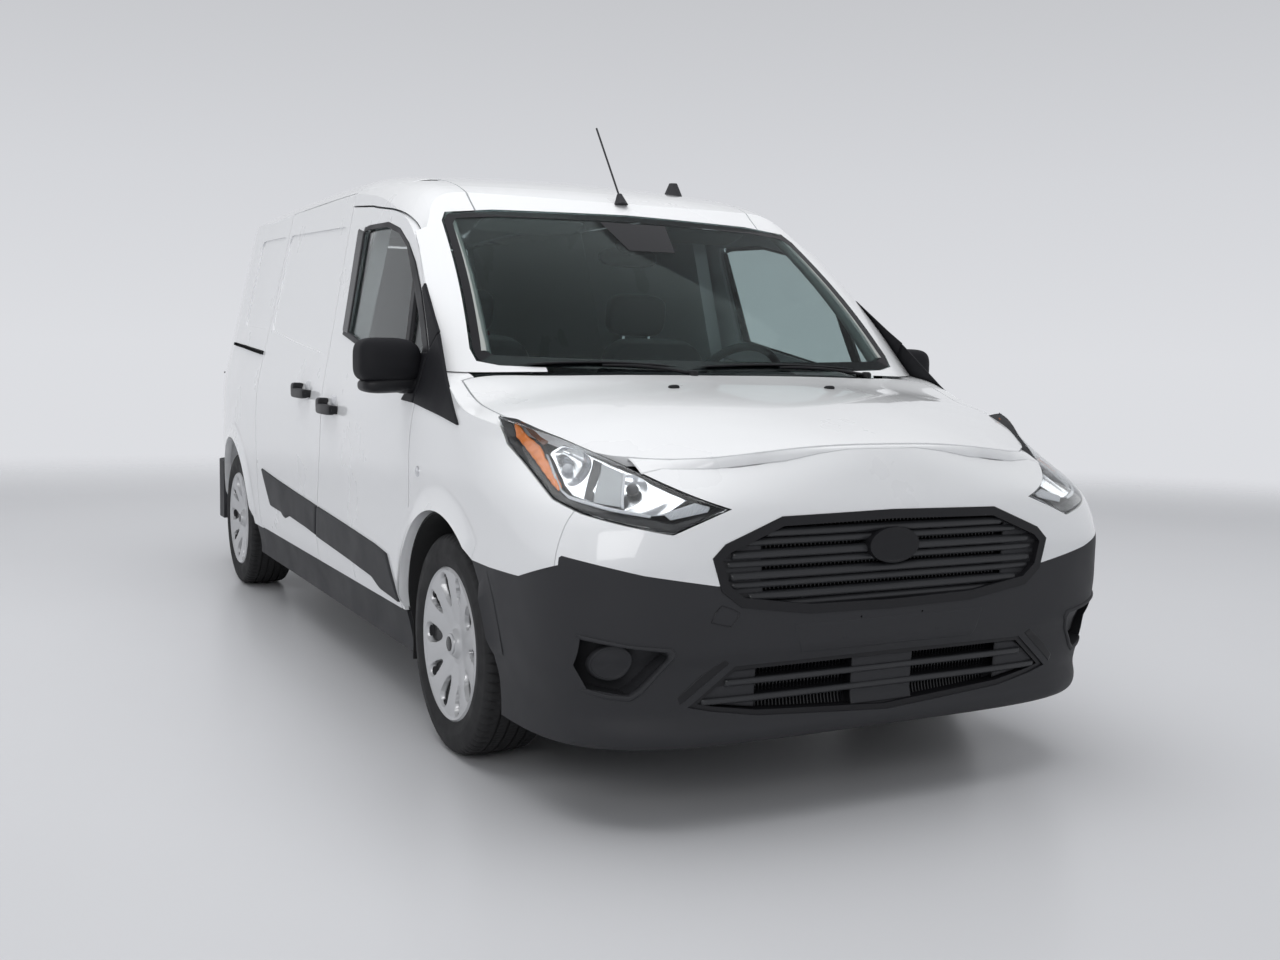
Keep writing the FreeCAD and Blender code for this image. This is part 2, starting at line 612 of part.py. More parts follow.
def body_side_pieces():
    """Pillars and rails, rear side walls, doors, glass and mirrors, left and right."""
    pieces = {}
    side, roof = side_solid(0), roof_solid(0)
    screen_hole = front_prism(across(SCREEN_OUTLINE), COWL_Y - 200, SCREEN_TOP_Y + 200)
    door_front_gap = [(y - SHUT_GAP, z) for y, z in DOOR_FRONT]
    door_top_gap = [(y - SHUT_GAP, z + SHUT_GAP) for y, z in DOOR_TOP]
    doorway = side_prism([door_front_gap, door_top_gap, (20, DOOR_CORNER_Z + SHUT_GAP + 4), (20, SILL_TOP)],
                         400, 1000)
    slide_way = side_prism([(-40, SILL_TOP), (-22, SLIDE_DOOR_TOP + SHUT_GAP),
                            (RAIL_END_Y + 50, SLIDE_DOOR_TOP + SHUT_GAP), (RAIL_END_Y + 50, SILL_TOP)], 400, 1000)
    above_hood = hood_solid(-3, 500)

    region = box(ROOF_JOINT_X + 3, 1000, COWL_Y - 120, RAIL_END_Y - 0.3, COWL_Z - 130, HEIGHT + 20)
    behind_screen = side.common(region).common(screen_solid(0, 3000))
    ahead = behind_screen.common(box(0, 1000, COWL_Y - 120, SCREEN_TOP_Y - 30, 0, HEIGHT))
    pillar = side_slab(0, WALL).common(ahead).fuse(screen_solid(0, PILLAR_DEPTH).common(ahead))
    within = behind_screen.common(roof)
    surround = side_slab(0, WALL).common(within).fuse(pillar)
    surround = surround.fuse(roof_solid(0, ROOF_THICKNESS + 10).common(within))
    surround = surround.fuse(screen_solid(0, PILLAR_DEPTH).common(within))
    surround = surround.cut(screen_hole).cut(above_hood).cut(doorway).cut(slide_way).cut(
        fender_flank(TRIM_GAP).common(side_slab(-40, SKIN + TRIM_GAP)))
    post = side_slab(WALL + SHUT_GAP, WALL + SHUT_GAP + 60)
    post = post.common(box(500, 1000, -190, -36, CAB_FLOOR_TOP + SEAT_GAP, HEIGHT - 137))
    head = side_slab(20, WALL + SHUT_GAP + 60).common(roof_solid(12))
    head = head.common(box(500, 1000, -190, -36, HEIGHT - 140, HEIGHT))
    striker = side_slab(WALL + SEAT_GAP, WALL + SHUT_GAP + 2).common(
        box(500, 1000, STRIKER_Y - 13, STRIKER_Y + 13, STRIKER_Z - 25, STRIKER_Z + 25))
    surround = surround.fuse(head).fuse(post).fuse(striker)
    pieces["door_surrounds"] = both(largest(surround))

    opening = [(REAR_DOOR_HALF_WIDTH + SHUT_GAP, REAR_DOOR_BOTTOM - 100)] + [
        (x + SHUT_GAP, z) for x, z in REAR_DOOR_EDGE] + [(ROOF_JOINT_X - 60, REAR_DOOR_TOP + SHUT_GAP),
                                                        (0, REAR_DOOR_TOP + SHUT_GAP), (0, REAR_DOOR_BOTTOM - 100)]
    opening = front_prism(opening, REAR_Y - 300, REAR_Y + 100)
    lamp_block = box(REAR_DOOR_HALF_WIDTH + 14, 1000, REAR_Y - 120, REAR_Y + 50, TAIL_LAMP_BOTTOM, TAIL_LAMP_TOP)
    wall_outline = side_prism([(SLIDE_DOOR_REAR_Y + SHUT_GAP, SILL_TOP - SHUT_GAP + SEAT_GAP),
                               (RAIL_END_Y, SLIDE_DOOR_TOP),
                               (RAIL_END_Y, HEIGHT + 20), (REAR_Y + 10, HEIGHT + 20), (REAR_Y + 10, BUMPER_TOP),
                               (REAR_BUMPER_Y, BUMPER_TOP), (REAR_BUMPER_Y, SILL_TOP - 20),
                               (REAR_AXLE_Y, SILL_TOP - 20),
                               (REAR_AXLE_Y - REAR_ARCH_RADIUS, SILL_TOP - SHUT_GAP + SEAT_GAP)], 300, 1000)
    arch = cylinder_x(REAR_ARCH_RADIUS, 300, 1000, REAR_AXLE_Y, TYRE_RADIUS)
    within = side.common(wall_outline).common(roof).common(rear_solid(0, 4000)).common(
        box(ROOF_JOINT_X + 3, 1000, 0, REAR_Y + 50, 0, HEIGHT + 50))
    wall = side_slab(0, WALL).common(within)
    wall = wall.fuse(roof_solid(0, ROOF_THICKNESS + 10).common(within))
    wall = wall.fuse(within.common(box(0, 1000, REAR_Y - REAR_CORNER, REAR_Y + 100, 0, HEIGHT + 50)))
    wall = wall.cut(opening).cut(arch)
    pieces["tail_lamps"] = both(wall.common(lamp_block))
    wall = wall.cut(lamp_block).cut(sunk_panel(REAR_PANEL, PANEL_DEPTH))
    wall = largest(wall.cut(side_slab(-5, RAIL_SLOT_DEPTH).common(side_prism(RAIL_SLOT, 300, 1000))))
    for z in HINGE_HEIGHTS:
        leaf = box(HINGE_X - 2, HINGE_X + 10, HINGE_Y - 34, HINGE_Y, z, z + HINGE_LEAF)
        wall = wall.fuse(leaf).fuse(Part.makeCylinder(HINGE_RADIUS, HINGE_LEAF, Vector(HINGE_X, HINGE_Y, z)))
    pieces["side_wall_left"] = wall
    pieces["side_wall_right"] = mirrored(wall)

    sliding = side_slab(0, WALL).common(side_prism(sliding_door_outline(), 300, 1000)).common(roof_solid(2))
    handle = door_handle(SLIDE_HANDLE_Y, SLIDE_HANDLE_Z)
    sliding = sliding.cut(sunk_panel(SLIDE_PANEL, PANEL_DEPTH)).fuse(handle)
    pieces["sliding_door_left"] = sliding
    pieces["sliding_door_right"] = mirrored(sliding)

    shape = side_prism(front_door_outline(), 300, 1000)
    belt = side_prism([(-1400, 980), (20, 980 + (BELT_REAR_Z - 1060) * 1.2), (20, 200), (-1400, 200)], 300, 1000)
    window = side_prism(WINDOW, 300, 1000)
    door = side_slab(0, DOOR_FRAME).common(shape).cut(belt)
    low = side_slab(0, WALL).common(shape).common(belt)
    door = door.fuse(low).cut(window).fuse(door_handle(DOOR_HANDLE_Y, DOOR_HANDLE_Z))
    glass = side_slab(10, 10 + GLASS).common(window)
    pieces["front_door_left"], pieces["front_door_right"] = door, mirrored(door)
    pieces["door_glass_left"], pieces["door_glass_right"] = glass, mirrored(glass)

    foot_x = half_width(MIRROR_Y, 1085) - 2
    mirror = box(MIRROR_REACH - MIRROR_HEAD, MIRROR_REACH, MIRROR_Y - 60, MIRROR_Y + 65, 1036, 1206)
    mirror = mirror.makeFillet(30, mirror.Edges)
    foot = box(foot_x - 30, MIRROR_REACH - 100, MIRROR_Y - 30, MIRROR_Y + 25, 1056, 1094).cut(side_solid(0))
    mirror = mirror.fuse(foot)
    pieces["mirror_left"], pieces["mirror_right"] = mirror, mirrored(mirror)

    sill = side_slab(8, 112).common(box(500, 1000, SILL_FRONT_Y, REAR_AXLE_Y - REAR_ARCH_RADIUS - 6, SILL_BOTTOM,
                           SILL_TOP - SHUT_GAP))
    pieces["sills"] = both(sill)
    return pieces


def sunk_panel(points, depth):
    """Room of a window-shaped pressing in the left body side, with rounded corners."""
    pressing = side_prism(points, 300, 1000)
    pressing = pressing.makeFillet(PANEL_CORNER, [e for e in pressing.Edges if e.BoundBox.XLength > 600])
    return side_slab(-5, depth).common(pressing)


def door_handle(y, z):
    """Pull handle standing on the left door skin, its two feet sunk in the panel."""
    x = half_width(y, z)
    grip = box(x + 14, x + 32, y - 92, y + 92, z - 16, z + 16)
    grip = grip.makeFillet(7, grip.Edges)
    feet = box(x - 10, x + 20, y - 88, y - 60, z - 12, z + 12).fuse(
        box(x - 10, x + 20, y + 50, y + 88, z - 12, z + 12))
    return grip.fuse(feet)


def top_and_tail_pieces():
    """Roof, windscreen, rear doors, cowl, wipers, antenna and rear bumper."""
    pieces = {}
    joint = ROOF_JOINT_X - 3
    under_roof = roof_solid(0, 400, -joint, joint)
    roof = roof_solid(0, ROOF_THICKNESS, -joint, joint).cut(screen_solid(0, -600)).cut(
        box(-2000, 2000, REAR_Y - 110, REAR_Y + 200, 0, 3000))
    top_line = [(x, z) for x, z in SCREEN_OUTLINE if z > 1500]
    header_band = [(joint, 1600)] + [(x, z) for x, z in top_line if x < joint]
    header_outline = [(joint, HEIGHT)] + [(joint, 1634)] + header_band[1:]
    header = screen_solid(0, PILLAR_DEPTH).common(under_roof).common(
        front_prism([(-x, z) for x, z in header_outline] + header_outline[::-1], COWL_Y, SCREEN_TOP_Y + 300))
    tail = under_roof.common(rear_solid(0, 115)).common(
        box(-joint, joint, 0, REAR_Y + 100, REAR_DOOR_TOP + SHUT_GAP, HEIGHT + 50))
    glass_depth = GLASS / math.sin(math.radians(40))
    screen_shape = front_prism(across(SCREEN_OUTLINE), COWL_Y - 200, SCREEN_TOP_Y + 200)
    pieces["windscreen"] = screen_solid(0, glass_depth).common(screen_shape)
    seat = screen_solid(-1, glass_depth + 1 + SEAT_GAP).common(screen_shape)
    pieces["roof_panel"] = roof.fuse(header).fuse(tail).cut(seat)

    outline_left = [(MEETING_GAP / 2, REAR_DOOR_BOTTOM), (REAR_DOOR_HALF_WIDTH, REAR_DOOR_BOTTOM)] + [
        (x, z) for x, z in REAR_DOOR_EDGE] + [(ROOF_JOINT_X - 70, REAR_DOOR_TOP), (MEETING_GAP / 2, REAR_DOOR_TOP)]
    door = rear_solid(0, REAR_DOOR_THICKNESS).common(front_prism(outline_left, REAR_Y - 300, REAR_Y + 100))
    pressing = front_prism(REAR_DOOR_PANEL, REAR_Y - 200, REAR_Y + 100)
    pressing = pressing.makeFillet(PANEL_CORNER, [e for e in pressing.Edges if e.BoundBox.YLength > 250])
    door = door.cut(rear_solid(-5, PANEL_DEPTH + 5).common(pressing))
    for z in HINGE_HEIGHTS:
        start = z + HINGE_LEAF + RUNNING_CLEARANCE
        strap = box(HINGE_X - STRAP_LENGTH, HINGE_X - STRAP_CLEARANCE,
                    HINGE_Y - STRAP_REACH, HINGE_Y + 3, start, start + HINGE_LEAF)
        root = box(HINGE_X - STRAP_LENGTH, HINGE_X - STRAP_ROOT,
                   HINGE_Y - 34, HINGE_Y - 20, start, start + HINGE_LEAF)
        barrel = Part.makeCylinder(HINGE_RADIUS, HINGE_LEAF, Vector(HINGE_X, HINGE_Y, start))
        door = door.fuse(root).fuse(strap).fuse(barrel)
    pieces["rear_door_left"], pieces["rear_door_right"] = door, mirrored(door)

    rear_run = [(x, y + SHUT_GAP) for x, y in HOOD_REAR if x < 761]
    crescent = [rear_run[:-1] + [(-x, y) for x, y in reversed(rear_run)], (-756, FIREWALL_Y + 16),
                (756, FIREWALL_Y + 16)]
    cowl = hood_solid(10, 30).common(plan_prism(crescent, 900, 1200)).cut(
        plan_prism(hood_outline(SHUT_GAP), 700, 1200))
    pieces["cowl"] = cowl

    antenna_z = roof_height(0, ANTENNA_Y)
    base = Part.makeCone(26, 9, 42, Vector(0, ANTENNA_Y, antenna_z - 6), Vector(0, 0.35, 1))
    whip = rod(Vector(0, ANTENNA_Y + 8, antenna_z + 20), Vector(0, ANTENNA_Y + 211, antenna_z + 291), 3.5)
    antenna = base.fuse(whip).cut(roof_solid(0, 400, -200, 200))
    pod_z = roof_height(POD_X, POD_Y)
    pod = Part.makeCone(40, 16, 56, Vector(POD_X, POD_Y, pod_z - 8), Z_AXIS).cut(roof_solid(0, 400, 300, 620))
    pieces["antenna"] = Part.makeCompound([antenna, pod])

    outer = tail_curve(0)
    inner = tail_curve(REAR_BUMPER_WALL)
    pieces["rear_bumper"] = plan_prism([outer, inner[::-1]], REAR_BUMPER_BOTTOM, BUMPER_TOP - TRIM_GAP)
    return pieces


def tail_curve(inset):
    """Plan curve of the rear bumper from its left end to its right end."""
    side, reach, n = REAR_BUMPER_HALF - inset, REAR_Y - REAR_BUMPER_Y - inset, 4.6
    points = []
    for a in spread(0, math.pi, 33):
        r = (abs(math.cos(a) / side) ** n + abs(math.sin(a) / reach) ** n) ** (-1 / n)
        points.append((r * math.cos(a), REAR_BUMPER_Y + r * math.sin(a)))
    return points


def kingpin_point(z):
    """Point of the left kingpin axis at a height."""
    lean = math.tan(math.radians(KINGPIN_LEAN))
    return Vector(HUB_X - KINGPIN_OFFSET - (z - TYRE_RADIUS) * lean, FRONT_AXLE_Y, z)


def tyre(y):
    """Tyre ring on the left: tread, shoulders, sidewalls and bead."""
    half, tread = TYRE_WIDTH / 2, TREAD_WIDTH / 2
    bead = half - 14 - SEAT_GAP
    profile = [(-tread, TYRE_RADIUS), (tread, TYRE_RADIUS), (half - 9, TYRE_RADIUS - 14),
               (half, TYRE_RADIUS - 58), (bead, BEAD_RADIUS + 10), (bead, BEAD_RADIUS), (-bead, BEAD_RADIUS),
               (-bead, BEAD_RADIUS + 10), (-half, TYRE_RADIUS - 58), (9 - half, TYRE_RADIUS - 14)]
    centre = Vector(HUB_X, y, TYRE_RADIUS)
    wire = Part.makePolygon([centre + Vector(x, 0, r) for x, r in profile + profile[:1]])
    return Part.Face(wire).revolve(centre, X_AXIS, 360)


def wheel(y):
    """Pressed rim with brake disc and hub behind a spoked cover, on the left."""
    centre = Vector(HUB_X, y, TYRE_RADIUS)
    half = TYRE_WIDTH / 2 - 14
    disc_x = WHEEL_OFFSET
    profile = [(-half, BEAD_RADIUS), (half, BEAD_RADIUS), (half, BEAD_RADIUS + 9), (half + 7, BEAD_RADIUS + 9),
               (half + 7, BEAD_RADIUS - 10), (disc_x + 10, RIM_WELL_RADIUS), (disc_x + 10, SPINDLE_RADIUS + 30),
               (disc_x + 4, SPINDLE_RADIUS + 30), (disc_x + 4, SPINDLE_RADIUS + RUNNING_CLEARANCE),
               (-2, SPINDLE_RADIUS + RUNNING_CLEARANCE), (-2, 62), (0, BRAKE_DISC_RADIUS),
               (18, BRAKE_DISC_RADIUS), (18, 70), (disc_x, 78), (disc_x, RIM_WELL_RADIUS - RIM_WALL),
               (-half - 7, BEAD_RADIUS - 14), (-half - 7, BEAD_RADIUS + 9), (-half, BEAD_RADIUS + 9)]
    wire = Part.makePolygon([centre + Vector(x, 0, r) for x, r in profile + profile[:1]])
    rim = Part.Face(wire).revolve(centre, X_AXIS, 360)
    face = half + 7
    cover = [(face - 18, 0), (face - 18, 30), (face - 30, 44), (face - 12, 150), (face - 2, COVER_RADIUS - 18),
             (face - 2, COVER_RADIUS - 10), (face + 3, COVER_RADIUS - 10), (face + 3, COVER_RADIUS - 20),
             (face - 6, 150), (face - 20, 50), (face - 8, 34), (face - 8, 0)]
    wire = Part.makePolygon([centre + Vector(x, 0, r) for x, r in cover + cover[:1]])
    cover = Part.Face(wire).revolve(centre, X_AXIS, 360)
    step = 360.0 / SPOKE_COUNT
    holes = []
    for i in range(SPOKE_COUNT):
        long_hole = i % 2 == 0
        inner_r, outer_r = (78, 176) if long_hole else (112, 184)
        wide = 17 if long_hole else 24
        hole = front_hole(inner_r, outer_r, wide)
        hole.rotate(Vector(0, 0, 0), X_AXIS, i * step)
        hole.translate(centre)
        holes.append(hole)
    cover = cover.cut(Part.makeCompound(holes))
    return rim.fuse(cover)


def front_hole(inner_r, outer_r, wide):
    """Tapered hole between two spokes, drawn on the wheel's +Z radius and run along X."""
    shape = outline([(-wide * 0.45, inner_r), [(-wide * 0.45, inner_r), (0, inner_r - wide * 0.4),
                                               (wide * 0.45, inner_r)],
                     [(wide, outer_r - 12), (0, outer_r), (-wide, outer_r - 12)]][1:],
                    Vector(40, 0, 0), Y_AXIS, Z_AXIS)
    return shape.extrude(Vector(120, 0, 0))


def running_gear():
    """Wheels, knuckles, struts and arms, rear axle, liners and flaps."""
    pieces = {}
    for name, y in (("front", FRONT_AXLE_Y), ("rear", REAR_AXLE_Y)):
        pieces["tyre_%s_left" % name] = tyre(y)
        pieces["wheel_%s_left" % name] = wheel(y)
        pieces["tyre_%s_right" % name] = mirrored(pieces["tyre_%s_left" % name])
        pieces["wheel_%s_right" % name] = mirrored(pieces["wheel_%s_left" % name])

    hub_end = HUB_X + WHEEL_OFFSET + 2
    carrier = cylinder_x(52, HUB_X - 76, HUB_X - 8, FRONT_AXLE_Y, TYRE_RADIUS)
    carrier = carrier.fuse(cylinder_x(SPINDLE_RADIUS, HUB_X - 10, hub_end, FRONT_AXLE_Y, TYRE_RADIUS))
    carrier = carrier.fuse(rod(kingpin_point(KNUCKLE_LOW), kingpin_point(KNUCKLE_TOP), 25))
    pieces["knuckle_left"], pieces["knuckle_right"] = carrier, mirrored(carrier)

    axis_unit = (kingpin_point(1000) - kingpin_point(0)).normalize()
    seat = axis_unit * RUNNING_CLEARANCE
    strut = rod(kingpin_point(KNUCKLE_TOP) + seat, kingpin_point(TOWER_TOP), STRUT_RADIUS)
    tower = box(TOWER_X - 70, TOWER_X + 70, FRONT_AXLE_Y - 80, FRONT_AXLE_Y + 64, TOWER_TOP - 40, TOWER_TOP + 20)
    apron = box(RAIL_X - 35, TOWER_X - 68, FRONT_AXLE_Y - 80, FRONT_AXLE_Y + 64, RAIL_Z, TOWER_TOP + 20)
    rail = box(RAIL_X - 35, RAIL_X + 35, FRONT_Y + 150, FIREWALL_Y, RAIL_Z, RAIL_Z + 100)
    bracket = box(TOWER_X + 60, 1000, FRONT_AXLE_Y - 40, FRONT_AXLE_Y + 40, TOWER_TOP - 30, TOWER_TOP)
    bracket = bracket.common(side_solid(SKIN + 0.3))
    half = tower.fuse(apron).fuse(rail).fuse(bracket).fuse(strut)
    beam = box(-620, 620, FRONT_Y + 84, FRONT_Y + 150, RAIL_Z, RAIL_Z + 100)
    tie = box(-900, 900, FRONT_Y + 236, FRONT_Y + 268, 812, 842).common(nose_solid(LAMP_DEPTH + 0.3))
    legs = box(RAIL_X - 35, RAIL_X, FRONT_Y + 236, FRONT_Y + 268, RAIL_Z + 90, 820)
    lock = box(-30, 30, FRONT_Y + 236, FRONT_Y + 268, 830, 1100).common(hood_solid(HOOD_THICKNESS + SEAT_GAP, 300))
    frame = half.fuse(mirrored(half)).fuse(beam).fuse(tie).fuse(legs).fuse(mirrored(legs)).fuse(lock)
    radiator = box(-RAIL_X + 40, RAIL_X - 40, FRONT_Y + 200, FRONT_Y + 235, 330, 800)
    lugs = box(35 + SEAT_GAP - RAIL_X, RAIL_X - 35 - SEAT_GAP, FRONT_Y + 205, FRONT_Y + 230, RAIL_Z + 20, RAIL_Z + 80)
    radiator = radiator.fuse(lugs)
    pieces["front_structure"] = frame
    pieces["radiator"] = radiator

    low = kingpin_point(KNUCKLE_LOW) - seat
    ball = rod(low - axis_unit * 30, low, 22)
    arm = box(RAIL_X - 60, low.x - 4, FRONT_AXLE_Y - 26, FRONT_AXLE_Y + 26, low.z - 30, low.z - 8)
    arm = arm.cut(box(low.x - 20, low.x + 40, FRONT_AXLE_Y - 60, FRONT_AXLE_Y + 60, low.z - 6, low.z + 60))
    cross = box(-380, 380, FRONT_AXLE_Y - 60, FRONT_AXLE_Y + 110, low.z - 34, low.z + 30)
    posts = box(RAIL_X - 60, RAIL_X + 20, FRONT_AXLE_Y - 60, FIREWALL_Y - 20, low.z - 34, RAIL_Z)
    half = ball.fuse(arm).fuse(posts)
    pieces["front_subframe"] = cross.fuse(half).fuse(mirrored(half))

    stub = cylinder_x(SPINDLE_RADIUS, ARM_X, hub_end, REAR_AXLE_Y, TYRE_RADIUS)
    trailing = rod(Vector(ARM_X, REAR_AXLE_Y, TYRE_RADIUS), Vector(ARM_X, REAR_AXLE_Y - 520, TYRE_RADIUS + 20), 34)
    pivot = box(ARM_X - 40, ARM_X + 40, REAR_AXLE_Y - 560, REAR_AXLE_Y - 480, TYRE_RADIUS - 20,
                CARGO_FLOOR_TOP - FLOOR_THICKNESS)
    spring = rod(Vector(ARM_X, REAR_AXLE_Y - 60, TYRE_RADIUS), Vector(ARM_X, REAR_AXLE_Y - 60,
                 CARGO_FLOOR_TOP - FLOOR_THICKNESS), 44)
    half = stub.fuse(trailing).fuse(pivot).fuse(spring)
    beam = cylinder_x(42, -ARM_X, ARM_X, REAR_AXLE_Y - 150, TYRE_RADIUS)
    pieces["rear_axle"] = beam.fuse(half).fuse(mirrored(half))

    liner = ring_x(ARCH_RADIUS - 4, ARCH_RADIUS - 4 - LINER_WALL, LINER_INNER_X, 1000, FRONT_AXLE_Y, TYRE_RADIUS)
    liner = liner.common(box(0, 1000, -5000, 5000, SILL_TOP - 40, 1000))
    liner = liner.common(side_solid(BUMPER_WALL + 0.5, FRONT_Y + 200))
    liner = liner.cut(rod(kingpin_point(KNUCKLE_TOP), kingpin_point(TOWER_TOP), STRUT_RADIUS + SEAT_GAP))
    pieces["arch_liners"] = both(liner)
    flap_front = box(700, 862, SILL_FRONT_Y - 6, SILL_FRONT_Y, 190, 330)
    flap_rear = box(700, 1000, REAR_AXLE_Y + REAR_ARCH_RADIUS + 8, REAR_AXLE_Y + REAR_ARCH_RADIUS + 14, 185, 420)
    flap_rear = flap_rear.common(side_solid(WALL))
    flaps = [flap_front, mirrored(flap_front), flap_rear, mirrored(flap_rear)]
    pieces["mud_flaps"] = Part.makeCompound(flaps)
    return pieces


def inner_pieces():
    """Floors, firewall, seats, dashboard, steering wheel and what hangs under the floor."""
    pieces = {}
    under = CARGO_FLOOR_TOP - FLOOR_THICKNESS
    floor = side_solid(WALL).common(box(-5, 1000, CAB_REAR_Y, REAR_Y - 85, under, CARGO_FLOOR_TOP))
    riser = box(-5, CAB_FLOOR_HALF, CAB_REAR_Y, CAB_REAR_Y + 15, CAB_FLOOR_TOP, under)
    house_r = REAR_ARCH_RADIUS + 12
    house = cylinder_x(house_r, WHEELHOUSE_X, 1000, REAR_AXLE_Y, TYRE_RADIUS).common(side_solid(WALL))
    hollow = cylinder_x(house_r - 8, WHEELHOUSE_X + 8, 1000, REAR_AXLE_Y, TYRE_RADIUS)
    keep = box(-10, 1000, 0, REAR_Y, TYRE_RADIUS + 90, HEIGHT)
    corner = box(REAR_DOOR_HALF_WIDTH + SHUT_GAP - SEAT_GAP, 1000, REAR_Y - REAR_CORNER - SEAT_GAP, REAR_Y,
                 under - 10, CARGO_FLOOR_TOP + 10)
    half = floor.fuse(riser).cut(house).fuse(house.cut(hollow).common(keep)).cut(corner)
    pieces["cargo_floor"] = half.fuse(mirrored(half)).removeSplitter()

    low = CAB_FLOOR_TOP - FLOOR_THICKNESS
    arch_y = FRONT_AXLE_Y + ARCH_RADIUS + 6
    arch_top = TYRE_RADIUS + ARCH_RADIUS + 2
    pan = box(-CAB_FLOOR_HALF, CAB_FLOOR_HALF, arch_y, CAB_REAR_Y, low, CAB_FLOOR_TOP)
    edge = box(CAB_FLOOR_HALF - 46, CAB_FLOOR_HALF, arch_y, CAB_REAR_Y, SILL_TOP - SHUT_GAP, CAB_FLOOR_TOP)
    tunnel = box(-CHEEK_X, CHEEK_X, FIREWALL_Y, arch_y, low, CAB_FLOOR_TOP)
    wall = box(-CHEEK_X, CHEEK_X, FIREWALL_Y, FIREWALL_Y + 18, low, arch_top + 12)
    cheek = box(CHEEK_X - 10, CHEEK_X, FIREWALL_Y, arch_y + 12, low, arch_top + 12)
    shelf = box(CHEEK_X - 10, CAB_FLOOR_HALF, FIREWALL_Y, arch_y + 12, arch_top, arch_top + 12)
    toe = box(CHEEK_X - 10, CAB_FLOOR_HALF, arch_y, arch_y + 12, low, arch_top + 12)
    upper = box(-800, 800, FIREWALL_Y, FIREWALL_Y + 18, arch_top, COWL_Z - 70)
    plenum = box(-740, 740, COWL_Y - 18, FIREWALL_Y + 18, COWL_Z - 90, COWL_Z - 40)
    plenum = plenum.common(hood_solid(40.3, 900))
    half = edge.fuse(cheek).fuse(shelf).fuse(toe)
    cab = pan.fuse(tunnel).fuse(wall).fuse(upper).fuse(plenum).fuse(half).fuse(mirrored(half))
    pieces["cab_floor"] = cab

    dash_y = FIREWALL_Y + 18 + SEAT_GAP
    profile = [(dash_y, arch_top + 12 + TRIM_GAP), (dash_y, COWL_Z - 40),
               [(dash_y, COWL_Z - 40), (FIREWALL_Y + 180, COWL_Z - 18), (DASH_REAR_Y - 60, COWL_Z - 34),
                (DASH_REAR_Y, COWL_Z - 84), (DASH_REAR_Y - 40, 900), (DASH_REAR_Y - 120, 760)]]
    dash = side_prism(profile[:1] + profile[2:], -DASH_HALF, DASH_HALF)
    pieces["dashboard"] = dash
    hub = Vector(DRIVER_X, DASH_REAR_Y + 95, 1030)
    tilt = Vector(0, math.cos(math.radians(26)), math.sin(math.radians(26)))
    ring = Part.makeTorus(184, 15, hub, tilt)
    boss = rod(hub - tilt * 34, hub + tilt * 8, 62)
    spokes = []
    for angle in (0, 180, 270):
        a = math.radians(angle)
        out = X_AXIS * math.cos(a) + tilt.cross(X_AXIS) * math.sin(a)
        spokes.append(rod(hub + out * 50 - tilt * 8, hub + out * 180, 11))
    column = rod(hub - tilt * 150, hub - tilt * 30, 34).cut(dash)
    pieces["steering_wheel"] = ring.fuse(boss).fuse(spokes[0]).fuse(spokes[1]).fuse(spokes[2]).fuse(column)

    cushion = [(SEAT_Y - 520, CAB_FLOOR_TOP + 190), (SEAT_Y - 500, CAB_FLOOR_TOP + 300),
               (SEAT_Y - 60, CAB_FLOOR_TOP + 270), (SEAT_Y + 90, 1180), (SEAT_Y + 160, 1190),
               (SEAT_Y + 60, CAB_FLOOR_TOP + 180)]
    seat_x0, seat_x1 = DRIVER_X - 245, DRIVER_X + 245
    seat = side_prism(cushion, seat_x0, seat_x1)
    seat = seat.makeFillet(28, [e for e in seat.Edges if e.Length > 60])
    stand = box(DRIVER_X - 190, DRIVER_X + 190, SEAT_Y - 430, SEAT_Y + 10, CAB_FLOOR_TOP, CAB_FLOOR_TOP + 220)
    rest = box(DRIVER_X - 130, DRIVER_X + 130, SEAT_Y + 92, SEAT_Y + 172, 1225, 1400)
    rest = rest.makeFillet(30, rest.Edges)
    stalks = rod(Vector(DRIVER_X - 60, SEAT_Y + 125, 1170), Vector(DRIVER_X - 60, SEAT_Y + 130, 1240), 7).fuse(
        rod(Vector(DRIVER_X + 60, SEAT_Y + 125, 1170), Vector(DRIVER_X + 60, SEAT_Y + 130, 1240), 7))
    pieces["seats"] = both(seat.fuse(stand).fuse(stalks).fuse(rest))

    engine = box(-340, 340, FRONT_AXLE_Y - 510, FRONT_AXLE_Y - 62, 400, 880)
    engine = engine.makeFillet(30, engine.Edges)
    mounts = box(336, RAIL_X - 35 - SEAT_GAP, FRONT_AXLE_Y - 330, FRONT_AXLE_Y - 250, RAIL_Z + 20, RAIL_Z + 80)
    pieces["engine_block"] = engine.fuse(mounts).fuse(mirrored(mounts))

    pipe = rod(Vector(PIPE_X, FRONT_AXLE_Y + 130, PIPE_Z), Vector(PIPE_X, REAR_Y - 360, PIPE_Z), PIPE_RADIUS)
    can = rod(Vector(PIPE_X, REAR_Y - 480, PIPE_Z + 27), Vector(PIPE_X, REAR_Y - 120, PIPE_Z + 27), 82)
    tail = rod(Vector(PIPE_X, REAR_Y - 130, PIPE_Z), Vector(PIPE_X, REAR_Y - 30, PIPE_Z - 24), PIPE_RADIUS - 4)
    hanger = rod(Vector(PIPE_X, REAR_Y - 300, 330), Vector(PIPE_X, REAR_Y - 300, under), 8)
    front_hanger = rod(Vector(PIPE_X, 0, PIPE_Z + 8), Vector(PIPE_X, 0, under), 8)
    pieces["exhaust"] = pipe.fuse(can).fuse(tail).fuse(hanger).fuse(front_hanger)
    tank = box(120, 600, 120, 780, 270, under)
    pieces["fuel_tank"] = tank.makeFillet(40, [e for e in tank.Edges if e.BoundBox.ZMin < 271])
    return pieces


